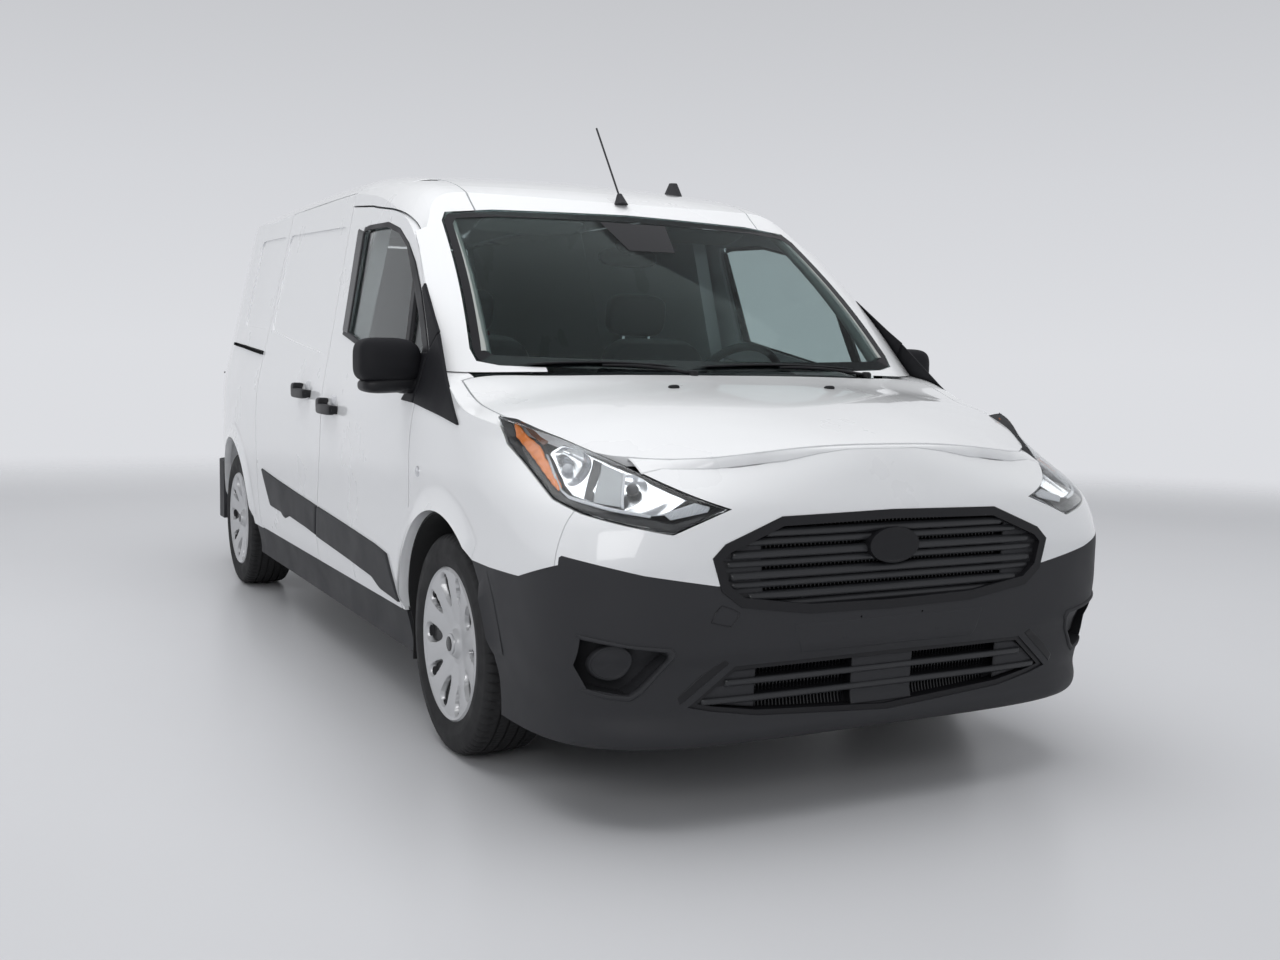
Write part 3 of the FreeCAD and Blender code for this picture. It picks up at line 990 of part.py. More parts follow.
def grille_pieces():
    """Upper and lower grilles: rims with slats, a bare oval pad and a blank middle panel."""
    pieces = {}
    rim_band, slat_band = front_slab(-2, 44), front_slab(14, 44)
    shape = front_prism(across(grown_half(GRILLE_OUTLINE, -0.3)), FRONT_Y - 50, FRONT_Y + 250)
    inside = front_prism(across(grown_half(GRILLE_OUTLINE, -GRILLE_RIM)), FRONT_Y - 50, FRONT_Y + 250)
    grille = rim_band.common(shape.cut(inside))
    for z in GRILLE_SLATS:
        for offset in (0, -24):
            bar = box(-520, 520, FRONT_Y - 50, FRONT_Y + 200, z + offset - 8, z + offset + 8)
            grille = grille.fuse(slat_band.common(bar).common(shape))
    back = front_slab(42, 47).common(shape)
    grille = grille.fuse(back)
    badge = Part.makeCylinder(46, 40, Vector(0, 0, 0), Y_AXIS)
    squash = FreeCAD.Matrix()
    squash.scale(1.7, 1.0, 1.0)
    badge = badge.transformGeometry(squash)
    badge.translate(Vector(0, FRONT_Y - 1, BADGE_Z))
    pieces["grille"] = grille.fuse(badge)

    shape = front_prism(across(grown_half(LOWER_GRILLE, -0.3)), FRONT_Y - 50, FRONT_Y + 250)
    inside = front_prism(across(grown_half(LOWER_GRILLE, -12)), FRONT_Y - 50, FRONT_Y + 250)
    lower = front_slab(6, 50).common(shape.cut(inside))
    for z in (LOWER_SLATS):
        bar = box(-560, 560, FRONT_Y - 50, FRONT_Y + 200, z - 7, z + 7)
        lower = lower.fuse(front_slab(12, 50).common(bar).common(shape))
    middle = box(-95, 95, FRONT_Y - 50, FRONT_Y + 200, 240, 420)
    lower = lower.fuse(front_slab(16, 50).common(middle).common(shape))
    back = front_slab(48, 53).common(shape)
    pieces["lower_grille"] = lower.fuse(back)
    return pieces


def grown_half(points, gap):
    """Left half of an outline, moved outwards by a gap from the middle of its height."""
    loop = grown(across(points), gap)
    half = sorted([(x, z) for x, z in loop if x > 0.01], key=lambda p: -p[1])
    tops = [p for p in loop if abs(p[0]) <= 0.01]
    top, bottom = max(p[1] for p in tops), min(p[1] for p in tops)
    return [(0, top)] + half + [(0, bottom)]


def build():
    parts = {}
    parts.update(nose_pieces())
    parts.update(grille_pieces())
    parts.update(body_side_pieces())
    parts.update(top_and_tail_pieces())
    parts.update(running_gear())
    parts.update(inner_pieces())
    return parts


if __name__ == "__main__":
    os.makedirs("parts", exist_ok=True)
    for name, shape in build().items():
        print(name, shape.isValid(), len(shape.Solids), round(shape.Volume / 1e6, 2))
        shape.exportStep("parts/%s.step" % name)
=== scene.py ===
import json
import math

import bpy
import numpy as np
from mathutils import Matrix, Vector


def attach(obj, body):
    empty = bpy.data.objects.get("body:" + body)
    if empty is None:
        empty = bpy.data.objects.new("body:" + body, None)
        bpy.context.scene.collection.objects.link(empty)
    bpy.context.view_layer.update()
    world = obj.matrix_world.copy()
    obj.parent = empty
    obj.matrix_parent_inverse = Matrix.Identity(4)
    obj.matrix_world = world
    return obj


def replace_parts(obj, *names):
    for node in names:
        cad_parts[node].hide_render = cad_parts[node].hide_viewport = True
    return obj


# White long-wheelbase panel van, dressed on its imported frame.
# Sizes below are millimetres in the van's own frame: X to its left, Y to its rear, Z up.

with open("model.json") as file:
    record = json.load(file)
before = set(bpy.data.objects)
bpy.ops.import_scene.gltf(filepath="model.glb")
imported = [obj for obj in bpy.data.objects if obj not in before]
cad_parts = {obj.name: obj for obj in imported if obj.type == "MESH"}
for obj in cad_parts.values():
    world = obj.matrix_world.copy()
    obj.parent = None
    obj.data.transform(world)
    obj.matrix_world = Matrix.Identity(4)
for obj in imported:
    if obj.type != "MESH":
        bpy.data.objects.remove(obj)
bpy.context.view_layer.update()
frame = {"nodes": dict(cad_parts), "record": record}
nodes = frame["nodes"]

LENGTH = 4825.0
HALF_WIDTH = 917.0
HEIGHT = 1845.0
FRONT_Y, REAR_Y = -LENGTH / 2, LENGTH / 2
FRONT_AXLE_Y = FRONT_Y + 906.5
REAR_AXLE_Y = FRONT_AXLE_Y + 3062.0
NOSE_START_Y = FRONT_AXLE_Y - 194.0
COWL_Y = FRONT_AXLE_Y + 6.0
COWL_Z = 1112.0
SCREEN_TOP_Y, SCREEN_TOP_Z = COWL_Y + 650.0, 1650.0
TYRE_RADIUS = 321.0
HUB_X = 785.0
ROOT2 = math.sqrt(2.0)


def smooth(points):
    """Monotone cubic through (position, value) pairs: each span is the Hermite blend
    (1+2t)(1-t)^2 a + t(1-t)^2 h m + t^2(3-2t) b + t^2(t-1) h n, with harmonic-mean slopes m and n."""
    xs, vs = np.array(points, float).T
    h = np.diff(xs)
    d = np.diff(vs) / h
    m = np.concatenate([d[:1], d[:-1] * 0, d[-1:]])
    same = d[:-1] * d[1:] > 0
    m[1:-1][same] = (2 * d[:-1] * d[1:])[same] / (d[:-1] + d[1:])[same]

    def value(x):
        x = np.clip(np.asarray(x, float), xs[0], xs[-1])
        i = np.clip(np.searchsorted(xs, x, "right") - 1, 0, len(xs) - 2)
        t = (x - xs[i]) / h[i]
        return ((1 + 2 * t) * (1 - t) ** 2 * vs[i] + t * (1 - t) ** 2 * h[i] * m[i]
                + t * t * (3 - 2 * t) * vs[i + 1] + t * t * (t - 1) * h[i] * m[i + 1])

    return value


side_tuck = smooth([(150, 56), (310, 37), (400, 17), (570, 5), (760, 0), (950, 5), (1080, 29), (1230, 64),
                    (HEIGHT - 233, 148), (HEIGHT - 145, 168), (HEIGHT, 200)])
nose_reach = smooth([(150, 90), (205, 40), (228, 10), (252, 5), (276, 18), (300, 25), (400, 20), (460, 0),
                     (530, 0), (600, 4), (780, 10), (860, 28), (935, 58), (1000, 110), (1150, 260)])
nose_squareness = smooth([(150, 4.6), (650, 5.4), (740, 4.6), (800, 3.7), (850, 2.8), (897, 2.2),
                          (951, 1.85), (1000, 1.8), (1150, 1.8)])
roof_line = smooth([(SCREEN_TOP_Y - 60, HEIGHT - 185), (SCREEN_TOP_Y, HEIGHT - 172),
                    (SCREEN_TOP_Y + 50, HEIGHT - 149), (SCREEN_TOP_Y + 250, HEIGHT - 80),
                    (SCREEN_TOP_Y + 550, HEIGHT - 30), (0, HEIGHT - 7), (500, HEIGHT), (1500, HEIGHT - 10),
                    (REAR_Y - 212, HEIGHT - 30), (REAR_Y, HEIGHT - 60)])
hood_line = smooth([(FRONT_Y - 40, 890), (FRONT_Y + 52, 938), (FRONT_Y + 212, 987), (FRONT_Y + 412, 1030),
                    (FRONT_Y + 612, 1062), (FRONT_Y + 812, 1090), (COWL_Y, 1108), (COWL_Y + 300, 1150)])
hood_drop = smooth([(FRONT_Y, 215), (FRONT_Y + 242, 172), (FRONT_Y + 412, 108), (FRONT_Y + 594, 72),
                    (FRONT_Y + 772, 58), (COWL_Y + 50, 26), (COWL_Y + 300, 20)])


def half_width(y, z):
    """Half the body's width: 917 less the side section's tuck, less 115 t^2 towards the tail."""
    tail = np.maximum(0.0, (y - 1300.0) / (REAR_Y - 1300.0))
    return HALF_WIDTH - side_tuck(z) - 115.0 * tail ** 2


def roof_height(x, y):
    """Roof line less 33 (x/750)^2, rounded off by 70 e^3 past x = 560."""
    edge = np.maximum(0.0, (np.abs(x) - 560.0) / 190.0)
    return roof_line(y) - 33 * (x / 750.0) ** 2 - 70 * edge ** 3


def hood_height(x, y):
    """Hood line less its edge drop times (|x|/850)^2.6."""
    return hood_line(y) - hood_drop(y) * (np.abs(x) / 850.0) ** 2.6


def screen_front(x, z):
    """Windscreen: a straight lean less a 45 mm sine bow, bent back by 78 (x/740)^2."""
    rise = (z - COWL_Z) / (SCREEN_TOP_Z - COWL_Z)
    lean = COWL_Y + (SCREEN_TOP_Y - COWL_Y) * rise - 45 * np.sin(np.pi * np.clip(rise, 0, 1))
    edge = np.maximum(0.0, np.abs(x) - 740 + 90 * rise)
    return lean + 78 * (x / 740.0) ** 2 + 0.0022 * edge ** 2


def rear_face(x, z):
    """Rear doors' outer face, leaning in by 48 t^2 above 1150 and crowned by 22 (x/800)^2."""
    top = np.maximum(0.0, (z - 1150.0) / 600.0)
    return REAR_Y - 10 - 48 * top ** 2 - 22 * (x / 800.0) ** 2


def front_face(x, z):
    """Nose between the lamps: the superellipse (|x|/side)^n + (depth/reach)^n = 1 at each height."""
    side = half_width(NOSE_START_Y, z)
    reach = NOSE_START_Y - (FRONT_Y + nose_reach(z))
    n = nose_squareness(z)
    return NOSE_START_Y - reach * (1 - np.clip(np.abs(x) / side, 0, 0.9999) ** n) ** (1 / n)


def corner_skin(u, z):
    """Nose skin met by the line (x + y)/sqrt(2) = u at height z: the superellipse's polar angle is found by
    bisection, since u grows with it all the way round the corner."""
    side = half_width(NOSE_START_Y, z)
    reach = NOSE_START_Y - (FRONT_Y + nose_reach(z))
    n = nose_squareness(z)
    low, high = np.zeros_like(z * u), np.full_like(z * u, math.pi / 2)
    for _ in range(40):
        a = (low + high) / 2
        r = ((np.cos(a) / reach) ** n + (np.sin(a) / side) ** n) ** (-1 / n)
        here = (r * np.sin(a) + NOSE_START_Y - r * np.cos(a)) / ROOT2
        low, high = np.where(here < u, a, low), np.where(here < u, high, a)
    straight = u > (side + NOSE_START_Y) / ROOT2
    x = np.where(straight, side, r * np.sin(a))
    y = np.where(straight, u * ROOT2 - side, NOSE_START_Y - r * np.cos(a))
    return x, y


# Meshes

def mesh_piece(name, points, faces, finish, body, outward=None, smooth_angle=40.0):
    """Mesh from points in millimetres; the faces are turned to face outwards, by the shell's signed
    volume or by the given direction."""
    points = np.asarray(points, float).reshape(-1, 3)
    faces = np.asarray(faces, int)
    a, b, c = points[faces[:, 0]], points[faces[:, 1]], points[faces[:, 2]]
    d = points[faces[:, -1]]
    normal = np.cross(c - a, d - b) if faces.shape[1] == 4 else np.cross(b - a, c - a)
    if outward is None:
        score = np.einsum("ij,ij->", normal, (a + c) / 2 - points.mean(0))
    else:
        score = np.einsum("ij,j->", normal, np.asarray(outward, float))
    if score < 0:
        faces = faces[:, ::-1]
    mesh = bpy.data.meshes.new(name)
    mesh.from_pydata((points * 0.001).tolist(), [], faces.tolist())
    mesh.validate()
    mesh.shade_smooth()
    if smooth_angle:
        mesh.set_sharp_from_angle(angle=math.radians(smooth_angle))
    piece = bpy.data.objects.new(name, mesh)
    bpy.context.scene.collection.objects.link(piece)
    mesh.materials.append(finish)
    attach(piece, body)
    return piece


def grid_faces(nu, nv, wrap_u=False, wrap_v=False, start=0):
    """Quads of a grid whose point (i, j) has index start + i nv + j."""
    i = np.arange(nu if wrap_u else nu - 1)[:, None]
    j = np.arange(nv if wrap_v else nv - 1)[None, :]
    i2, j2 = (i + 1) % nu, (j + 1) % nv
    quads = np.stack([i * nv + j + 0 * i2, i2 * nv + j, i2 * nv + j2, i * nv + j2], -1)
    return quads.reshape(-1, 4) + start


def grid_piece(name, grid, finish, body, wrap_u=False, wrap_v=False, outward=None, wall=0.0,
               angle=40.0):
    """Piece from a grid of points [u, v, xyz]; a wall makes the sheet a closed shell of that thickness."""
    grid = np.asarray(grid, float)
    nu, nv = grid.shape[:2]
    piece = mesh_piece(name, grid, grid_faces(nu, nv, wrap_u, wrap_v), finish, body, outward, angle)
    if wall:
        solidify = piece.modifiers.new("wall", "SOLIDIFY")
        solidify.thickness = wall * 0.001
        solidify.offset = -1.0
    return piece


def sides(make):
    """Calls make("left", 1) and make("right", -1)."""
    return [make("left", 1), make("right", -1)]


def along(points, t):
    """Point at share t of a polyline's length, for an array t."""
    points = np.array(points, float)
    run = np.concatenate([[0], np.cumsum(np.linalg.norm(np.diff(points, axis=0), axis=1))])
    run = run / run[-1]
    return np.stack([np.interp(t, run, points[:, k]) for k in range(points.shape[1])], -1)


def rim_profile(t, width):
    """Rounded-edge profile: 1 in the middle, a quarter circle of the given share down to 0 at each end."""
    e = np.clip(np.minimum(t, 1 - t) / width, 0, 1)
    return np.sqrt(np.clip(1 - (1 - e) ** 2, 0, 1))


def pad_steps(count, width):
    """Parameter values from 0 to 1, crowded into the rounded edges."""
    edge = width * (1 - np.cos(np.linspace(0, np.pi / 2, 5)))
    return np.concatenate([edge, np.linspace(width, 1 - width, count)[1:-1], 1 - edge[::-1]])


def side_pad(name, low, high, rise, finish, slot, body, s, edge=(0.02, 0.08), sink=2.0, count=(40, 8),
             shape=None):
    """Pad on the body side between a low and a high line of (y, z) points: its skin is
    x = half_width + rise E(u) E(v) - sink (1 - E), with E the rounded-edge profile."""
    u, v = pad_steps(count[0], edge[0]), pad_steps(count[1], edge[1])
    a, b = along(low, u), along(high, u)
    plan = a[:, None] * (1 - v)[None, :, None] + b[:, None] * v[None, :, None]
    lift = rim_profile(u, edge[0])[:, None] * rim_profile(v, edge[1])[None, :]
    x = half_width(plan[..., 0], plan[..., 1]) + rise * lift - sink * (1 - lift)
    if shape is not None:
        x = x + shape(u[:, None], v[None, :])
    grid = np.stack([s * x, plan[..., 0], plan[..., 1]], -1)
    return grid_piece(name, grid, finish, body, outward=(s, 0, 0), angle=50)


def tube(name, path, radius, finish, body, closed=False, sides_count=10, flat=1.0):
    """Round or flattened bar along a path: each ring is path + r (cos a n + flat sin a b)."""
    path = np.array(path, float)
    run = np.roll(path, -1, 0) - np.roll(path, 1, 0) if closed else np.gradient(path, axis=0)
    run /= np.linalg.norm(run, axis=1)[:, None]
    up = np.array([0.0, 0.0, 1.0])
    if np.abs(run @ up).max() > 0.9:
        up = np.array([1.0, 0.0, 0.0])
    n = np.cross(run, up)
    n /= np.linalg.norm(n, axis=1)[:, None]
    b = np.cross(run, n)
    a = np.linspace(0, 2 * np.pi, sides_count, endpoint=False)
    r = np.broadcast_to(np.asarray(radius, float), (len(path),))[:, None, None]
    grid = path[:, None] + r * (np.cos(a)[None, :, None] * n[:, None] + flat * np.sin(a)[None, :,
                                                                                         None] * b[:, None])
    if not closed:
        grid = np.concatenate([path[:1, None] + 0 * grid[:1], grid, path[-1:, None] + 0 * grid[-1:]])
    piece = grid_piece(name, grid, finish, body, wrap_u=closed, wrap_v=True, angle=60)
    return weld(piece)


def weld(piece, distance=0.02):
    """Merges the doubled points at poles and seams, and drops the empty faces."""
    import bmesh
    work = bmesh.new()
    work.from_mesh(piece.data)
    bmesh.ops.remove_doubles(work, verts=work.verts, dist=distance * 0.001)
    bmesh.ops.dissolve_degenerate(work, edges=work.edges, dist=0.000001)
    bmesh.ops.recalc_face_normals(work, faces=work.faces)
    work.to_mesh(piece.data)
    work.free()
    return piece


def lathe(name, profile, centre, s, finish, body, steps=96, swell=None, close=False):
    """Profile of (x, r) points turned about the wheel axis: (x, r cos a, r sin a) about the centre."""
    profile = np.array(profile, float)
    a = np.linspace(0, 2 * np.pi, steps, endpoint=False)
    x = np.broadcast_to(profile[:, 0], (steps, len(profile)))
    r = np.broadcast_to(profile[:, 1], (steps, len(profile)))
    if swell is not None:
        x, r = swell(x, r, a[:, None])
    grid = np.stack([s * (centre[0] + x), centre[1] + r * np.cos(a)[:, None],
                     centre[2] + r * np.sin(a)[:, None]], -1)
    piece = grid_piece(name, grid, finish, body, wrap_u=True, wrap_v=close, angle=35)
    return weld(piece)


def pillow(name, centre, half, finish, body, power=(0.35, 0.35), turn=(0, 0, 0), counts=(48, 28),
           shape=None):
    """Superellipsoid: (a C(v)C(u), b C(v)S(u), c S(v)), where C and S are the signed powers of cosine and
    sine."""
    u = np.linspace(-np.pi, np.pi, counts[0], endpoint=False)[:, None]
    v = np.linspace(-np.pi / 2, np.pi / 2, counts[1])[None, :]

    def power_of(value, n):
        return np.sign(value) * np.abs(value) ** n

    x = power_of(np.cos(v), power[1]) * power_of(np.cos(u), power[0])
    y = power_of(np.cos(v), power[1]) * power_of(np.sin(u), power[0])
    z = power_of(np.sin(v), power[1]) + 0 * u
    p = np.stack([half[0] * x, half[1] * y, half[2] * z], -1)
    if shape is not None:
        p = shape(p)
    rot = np.array(Matrix.Rotation(math.radians(turn[2]), 3, "Z") @ Matrix.Rotation(math.radians(turn[1]),
                                                                                    3, "Y")
                   @ Matrix.Rotation(math.radians(turn[0]), 3, "X"))
    p = p @ rot.T + np.array(centre, float)
    piece = grid_piece(name, p, finish, body, wrap_u=True, angle=60)
    return weld(piece)


# Finishes

def finish(name, colour, roughness, metallic=0.0, grain=None, shade=0.0, shade_scale=8.0, coat=0.0,
           alpha=1.0, transmission=0.0, rough_range=None, ior=1.45, sheen=0.0):
    """Principled surface: noise on object coordinates varies the colour and roughness, and a finer noise
    of scale grain[0] and depth grain[1] is its bump."""
    material = bpy.data.materials.new(name)
    material.use_nodes = True
    tree = material.node_tree
    shader = tree.nodes["Principled BSDF"]
    shader.inputs["Base Color"].default_value = (*colour, 1)
    shader.inputs["Roughness"].default_value = roughness
    shader.inputs["Metallic"].default_value = metallic
    shader.inputs["Coat Weight"].default_value = coat
    shader.inputs["Coat Roughness"].default_value = 0.04
    shader.inputs["Transmission Weight"].default_value = transmission
    shader.inputs["IOR"].default_value = ior
    shader.inputs["Alpha"].default_value = alpha
    shader.inputs["Sheen Weight"].default_value = sheen
    place = tree.nodes.new("ShaderNodeTexCoord")
    if shade or rough_range:
        noise = tree.nodes.new("ShaderNodeTexNoise")
        noise.inputs["Scale"].default_value = shade_scale
        noise.inputs["Detail"].default_value = 5.0
        tree.links.new(place.outputs["Object"], noise.inputs["Vector"])
    if shade:
        ramp = tree.nodes.new("ShaderNodeMix")
        ramp.data_type = "RGBA"
        ramp.inputs[6].default_value = (*[max(0.0, c * (1 - shade)) for c in colour], 1)
        ramp.inputs[7].default_value = (*[min(1.0, c * (1 + shade)) for c in colour], 1)
        tree.links.new(noise.outputs["Fac"], ramp.inputs[0])
        tree.links.new(ramp.outputs[2], shader.inputs["Base Color"])
    if rough_range:
        spread = tree.nodes.new("ShaderNodeMapRange")
        spread.inputs["From Min"].default_value = 0.3
        spread.inputs["From Max"].default_value = 0.7
        spread.inputs["To Min"].default_value = rough_range[0]
        spread.inputs["To Max"].default_value = rough_range[1]
        tree.links.new(noise.outputs["Fac"], spread.inputs["Value"])
        tree.links.new(spread.outputs["Result"], shader.inputs["Roughness"])
    if grain:
        fine = tree.nodes.new("ShaderNodeTexNoise")
        fine.inputs["Scale"].default_value = grain[0]
        fine.inputs["Detail"].default_value = 3.0
        bump = tree.nodes.new("ShaderNodeBump")
        bump.inputs["Strength"].default_value = grain[2] if len(grain) > 2 else 0.5
        bump.inputs["Distance"].default_value = grain[1]
        tree.links.new(place.outputs["Object"], fine.inputs["Vector"])
        tree.links.new(fine.outputs["Fac"], bump.inputs["Height"])
        tree.links.new(bump.outputs["Normal"], shader.inputs["Normal"])
    return material


white_paint = finish("white_paint", (0.84, 0.85, 0.865), 0.3, coat=1.0, grain=(900, 0.0002, 0.05),
                     shade=0.008, shade_scale=3, rough_range=(0.26, 0.34))
grained_plastic = finish("grained_plastic", (0.034, 0.0345, 0.038), 0.55, ior=1.33,
                         grain=(700, 0.0008, 0.35), shade=0.12, shade_scale=6, rough_range=(0.48, 0.62))
gloss_black = finish("gloss_black", (0.012, 0.012, 0.014), 0.18, grain=(300, 0.0002, 0.08),
                     rough_range=(0.14, 0.24))
satin_black = finish("satin_black", (0.012, 0.012, 0.014), 0.42, ior=1.36, grain=(600, 0.0004, 0.2),
                     rough_range=(0.36, 0.5))
clear_lens = finish("clear_lens", (0.95, 0.97, 0.98), 0.02, transmission=1.0, ior=1.35,
                    rough_range=(0.01, 0.04))
amber_lens = finish("amber_lens", (0.85, 0.22, 0.02), 0.16, grain=(160, 0.001, 0.3), shade=0.15,
                    shade_scale=40)
red_lens = finish("red_lens", (0.42, 0.008, 0.01), 0.08, coat=1.0, grain=(220, 0.0008, 0.25), shade=0.2,
                  shade_scale=60)
side_glass = finish("side_glass", (0.88, 0.93, 0.92), 0.02, transmission=1.0, ior=1.2,
                    rough_range=(0.01, 0.03))
screen_glass = finish("screen_glass", (0.38, 0.46, 0.46), 0.02, transmission=1.0, ior=1.2,
                      rough_range=(0.01, 0.03))
tyre_rubber = finish("tyre_rubber", (0.016, 0.016, 0.017), 0.75, grain=(500, 0.0008, 0.4), shade=0.2,
                     shade_scale=20, rough_range=(0.65, 0.85))
wheel_silver = finish("wheel_silver", (0.56, 0.565, 0.575), 0.34, metallic=0.75, coat=0.4,
                      grain=(900, 0.0002, 0.08), rough_range=(0.28, 0.4))
reflector = finish("reflector", (0.68, 0.69, 0.71), 0.16, metallic=1.0, rough_range=(0.12, 0.24))
lamp_grey = finish("lamp_grey", (0.28, 0.29, 0.3), 0.3, metallic=0.4, grain=(400, 0.0003, 0.1),
                   rough_range=(0.2, 0.38))
cast_metal = finish("cast_metal", (0.15, 0.15, 0.155), 0.6, metallic=0.6, grain=(250, 0.002, 0.5),
                    shade=0.25, shade_scale=12, rough_range=(0.5, 0.75))
chassis_steel = finish("chassis_steel", (0.028, 0.028, 0.03), 0.5, grain=(200, 0.001, 0.3), shade=0.3,
                       shade_scale=9, rough_range=(0.4, 0.65))
core_alloy = finish("core_alloy", (0.09, 0.09, 0.092), 0.5, metallic=0.7, grain=(600, 0.002, 0.6),
                    shade=0.2)
liner_black = finish("liner_black", (0.017, 0.017, 0.018), 0.85, grain=(350, 0.002, 0.6), shade=0.25,
                     shade_scale=14, rough_range=(0.75, 0.95))
floor_paint = finish("floor_paint", (0.3, 0.305, 0.31), 0.5, grain=(260, 0.001, 0.25), shade=0.12,
                     shade_scale=7, rough_range=(0.4, 0.62))
dash_plastic = finish("dash_plastic", (0.026, 0.028, 0.031), 0.6, grain=(500, 0.001, 0.5), shade=0.12,
                      shade_scale=10, rough_range=(0.52, 0.7))
pillar_grey = finish("pillar_grey", (0.36, 0.375, 0.36), 0.65, grain=(500, 0.0006, 0.3), shade=0.05,
                     rough_range=(0.58, 0.72))
exhaust_steel = finish("exhaust_steel", (0.34, 0.32, 0.29), 0.42, metallic=0.9, grain=(180, 0.0008, 0.3),
                       shade=0.25, shade_scale=10, rough_range=(0.32, 0.55))
mirror_plastic = finish("mirror_plastic", (0.012, 0.0122, 0.0145), 0.6, ior=1.3, grain=(700, 0.0006, 0.3),
                        rough_range=(0.54, 0.66))
# darker amber: painted shade for the upper end of the amber strip
amber_painted_shade = finish("amber_painted_shade", (0.20, 0.07, 0.03), 0.25, grain=(160, 0.001, 0.3))
# pale grey for the lamps' light line, marker and bulb, and a painted highlight on the handles' lock caps
lamp_light_and_highlight = finish("lamp_light_and_highlight", (0.62, 0.63, 0.66), 0.2, grain=(260, 0.0004, 0.15),
                    rough_range=(0.15, 0.28))
slat_finish = finish("slat_finish", (0.028, 0.029, 0.032), 0.34, grain=(500, 0.0003, 0.12),
                     rough_range=(0.3, 0.42))
chrome = finish("chrome", (0.72, 0.73, 0.75), 0.12, metallic=1.0, rough_range=(0.08, 0.2))


def woven(name, colour):
    """Seat cloth: two crossed wave bands on object coordinates give the weave's bump and its lighter
    threads."""
    material = finish(name, colour, 0.9, grain=(420, 0.001, 0.4), sheen=0.3, rough_range=(0.82, 0.95))
    tree = material.node_tree
    shader = tree.nodes["Principled BSDF"]
    place = next(n for n in tree.nodes if n.type == "TEX_COORD")
    waves = []
    for direction in ("X", "Z"):
        wave = tree.nodes.new("ShaderNodeTexWave")
        wave.bands_direction = direction
        wave.inputs["Scale"].default_value = 320.0
        wave.inputs["Distortion"].default_value = 0.6
        tree.links.new(place.outputs["Object"], wave.inputs["Vector"])
        waves.append(wave)
    cross = tree.nodes.new("ShaderNodeMath")
    cross.operation = "MULTIPLY"
    tree.links.new(waves[0].outputs["Fac"], cross.inputs[0])
    tree.links.new(waves[1].outputs["Fac"], cross.inputs[1])
    threads = tree.nodes.new("ShaderNodeMix")
    threads.data_type = "RGBA"
    threads.inputs[6].default_value = (*colour, 1)
    threads.inputs[7].default_value = (*[c * 1.35 for c in colour], 1)
    tree.links.new(cross.outputs[0], threads.inputs[0])
    tree.links.new(threads.outputs[2], shader.inputs["Base Color"])
    return material


seat_cloth = woven("seat_cloth", (0.04, 0.041, 0.045))

finish_of = {
    "paint": white_paint, "trim": grained_plastic, "lamp": clear_lens, "gloss_black": satin_black,
    "red_lens": red_lens, "side_glass": side_glass, "screen_glass": screen_glass, "tyre": tyre_rubber,
    "wheel_silver": wheel_silver, "cast": cast_metal, "steel": chassis_steel, "alloy": core_alloy,
    "liner": liner_black, "floor": floor_paint, "dash": dash_plastic, "seat": seat_cloth,
    "exhaust_steel": exhaust_steel,
}
for entry in frame["record"]["subparts"]:
    mesh = nodes[entry["node"]].data
    mesh.materials.clear()
    mesh.materials.append(finish_of[entry["material_slot"]])


# Tyres and wheels

def tread_swell(x, r, a):
    """Tread: 72 crossing slots lower the shoulders by 5 mm and half as many sipes cut the ribs by 3 mm."""
    across = np.abs(x)
    tread = np.clip((r - 300.0) / 14.0, 0, 1)
    slot = 0.5 + 0.5 * np.cos(72 * (a + 0.0035 * np.sign(x) * across / 10))
    slot = np.clip((slot - 0.80) / 0.12, 0, 1)
    shoulder = np.clip((across - 58.0) / 8.0, 0, 1)
    sipe = np.clip((0.5 + 0.5 * np.cos(144 * a + 0.06 * x) - 0.86) / 0.1, 0, 1)
    return x, r - tread * (5.0 * slot * shoulder + 2.2 * sipe * (1 - shoulder))


def tyre_profile():
    """Half profile mirrored: four round-bottomed grooves in a crowned tread, rounded shoulders, a bulged
    sidewall with two fine ribs, and the bead."""
    grooves = [centre + d for centre in (17, 49) for d in (-4.2, -2.6, 2.6, 4.2)]
    x = np.unique(np.concatenate([np.linspace(0, 82, 9), grooves, [58, 66]]))
    r = 321.0 - 3.0 * (x / 82) ** 2
    for centre, half in ((17, 4.2), (49, 4.2)):
        r = r - 7.5 * np.clip((half - np.abs(x - centre)) / 1.6, 0, 1)
    a = np.linspace(0, np.pi / 2, 9)[1:]
    shoulder = np.stack([82 + 20 * np.sin(a), 318 - 20 * (1 - np.cos(a)) - 4 * a], 1)
    t = np.linspace(0, 1, 15)[1:]
    wall_x = 102 + 5.5 * np.sin(np.pi * np.clip(t * 1.1, 0, 1)) - 12 * t ** 3
    wall_r = shoulder[-1, 1] - (shoulder[-1, 1] - 210) * t
    wall_x = wall_x + 1.0 * np.exp(-((wall_r - 262) / 2.5) ** 2) + 1.0 * np.exp(-((wall_r - 228) / 2.5) ** 2)
    wall = np.stack([wall_x, wall_r], 1)
    half = np.concatenate([np.stack([x, r], 1), shoulder, wall, [[88, 206], [70, 205]]])
    other = half[1:] * [-1, 1]
    return np.concatenate([other[::-1], half])


def make_tyre(end, y, side_name, s):
    body = "wheel_%s_%s" % (end, side_name)
    name = "tyre_%s_%s" % (end, side_name)
    piece = lathe(name + "_tread", tyre_profile(), (HUB_X, y, TYRE_RADIUS), s, tyre_rubber, body,
                  steps=432, swell=tread_swell)
    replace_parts(piece, name)


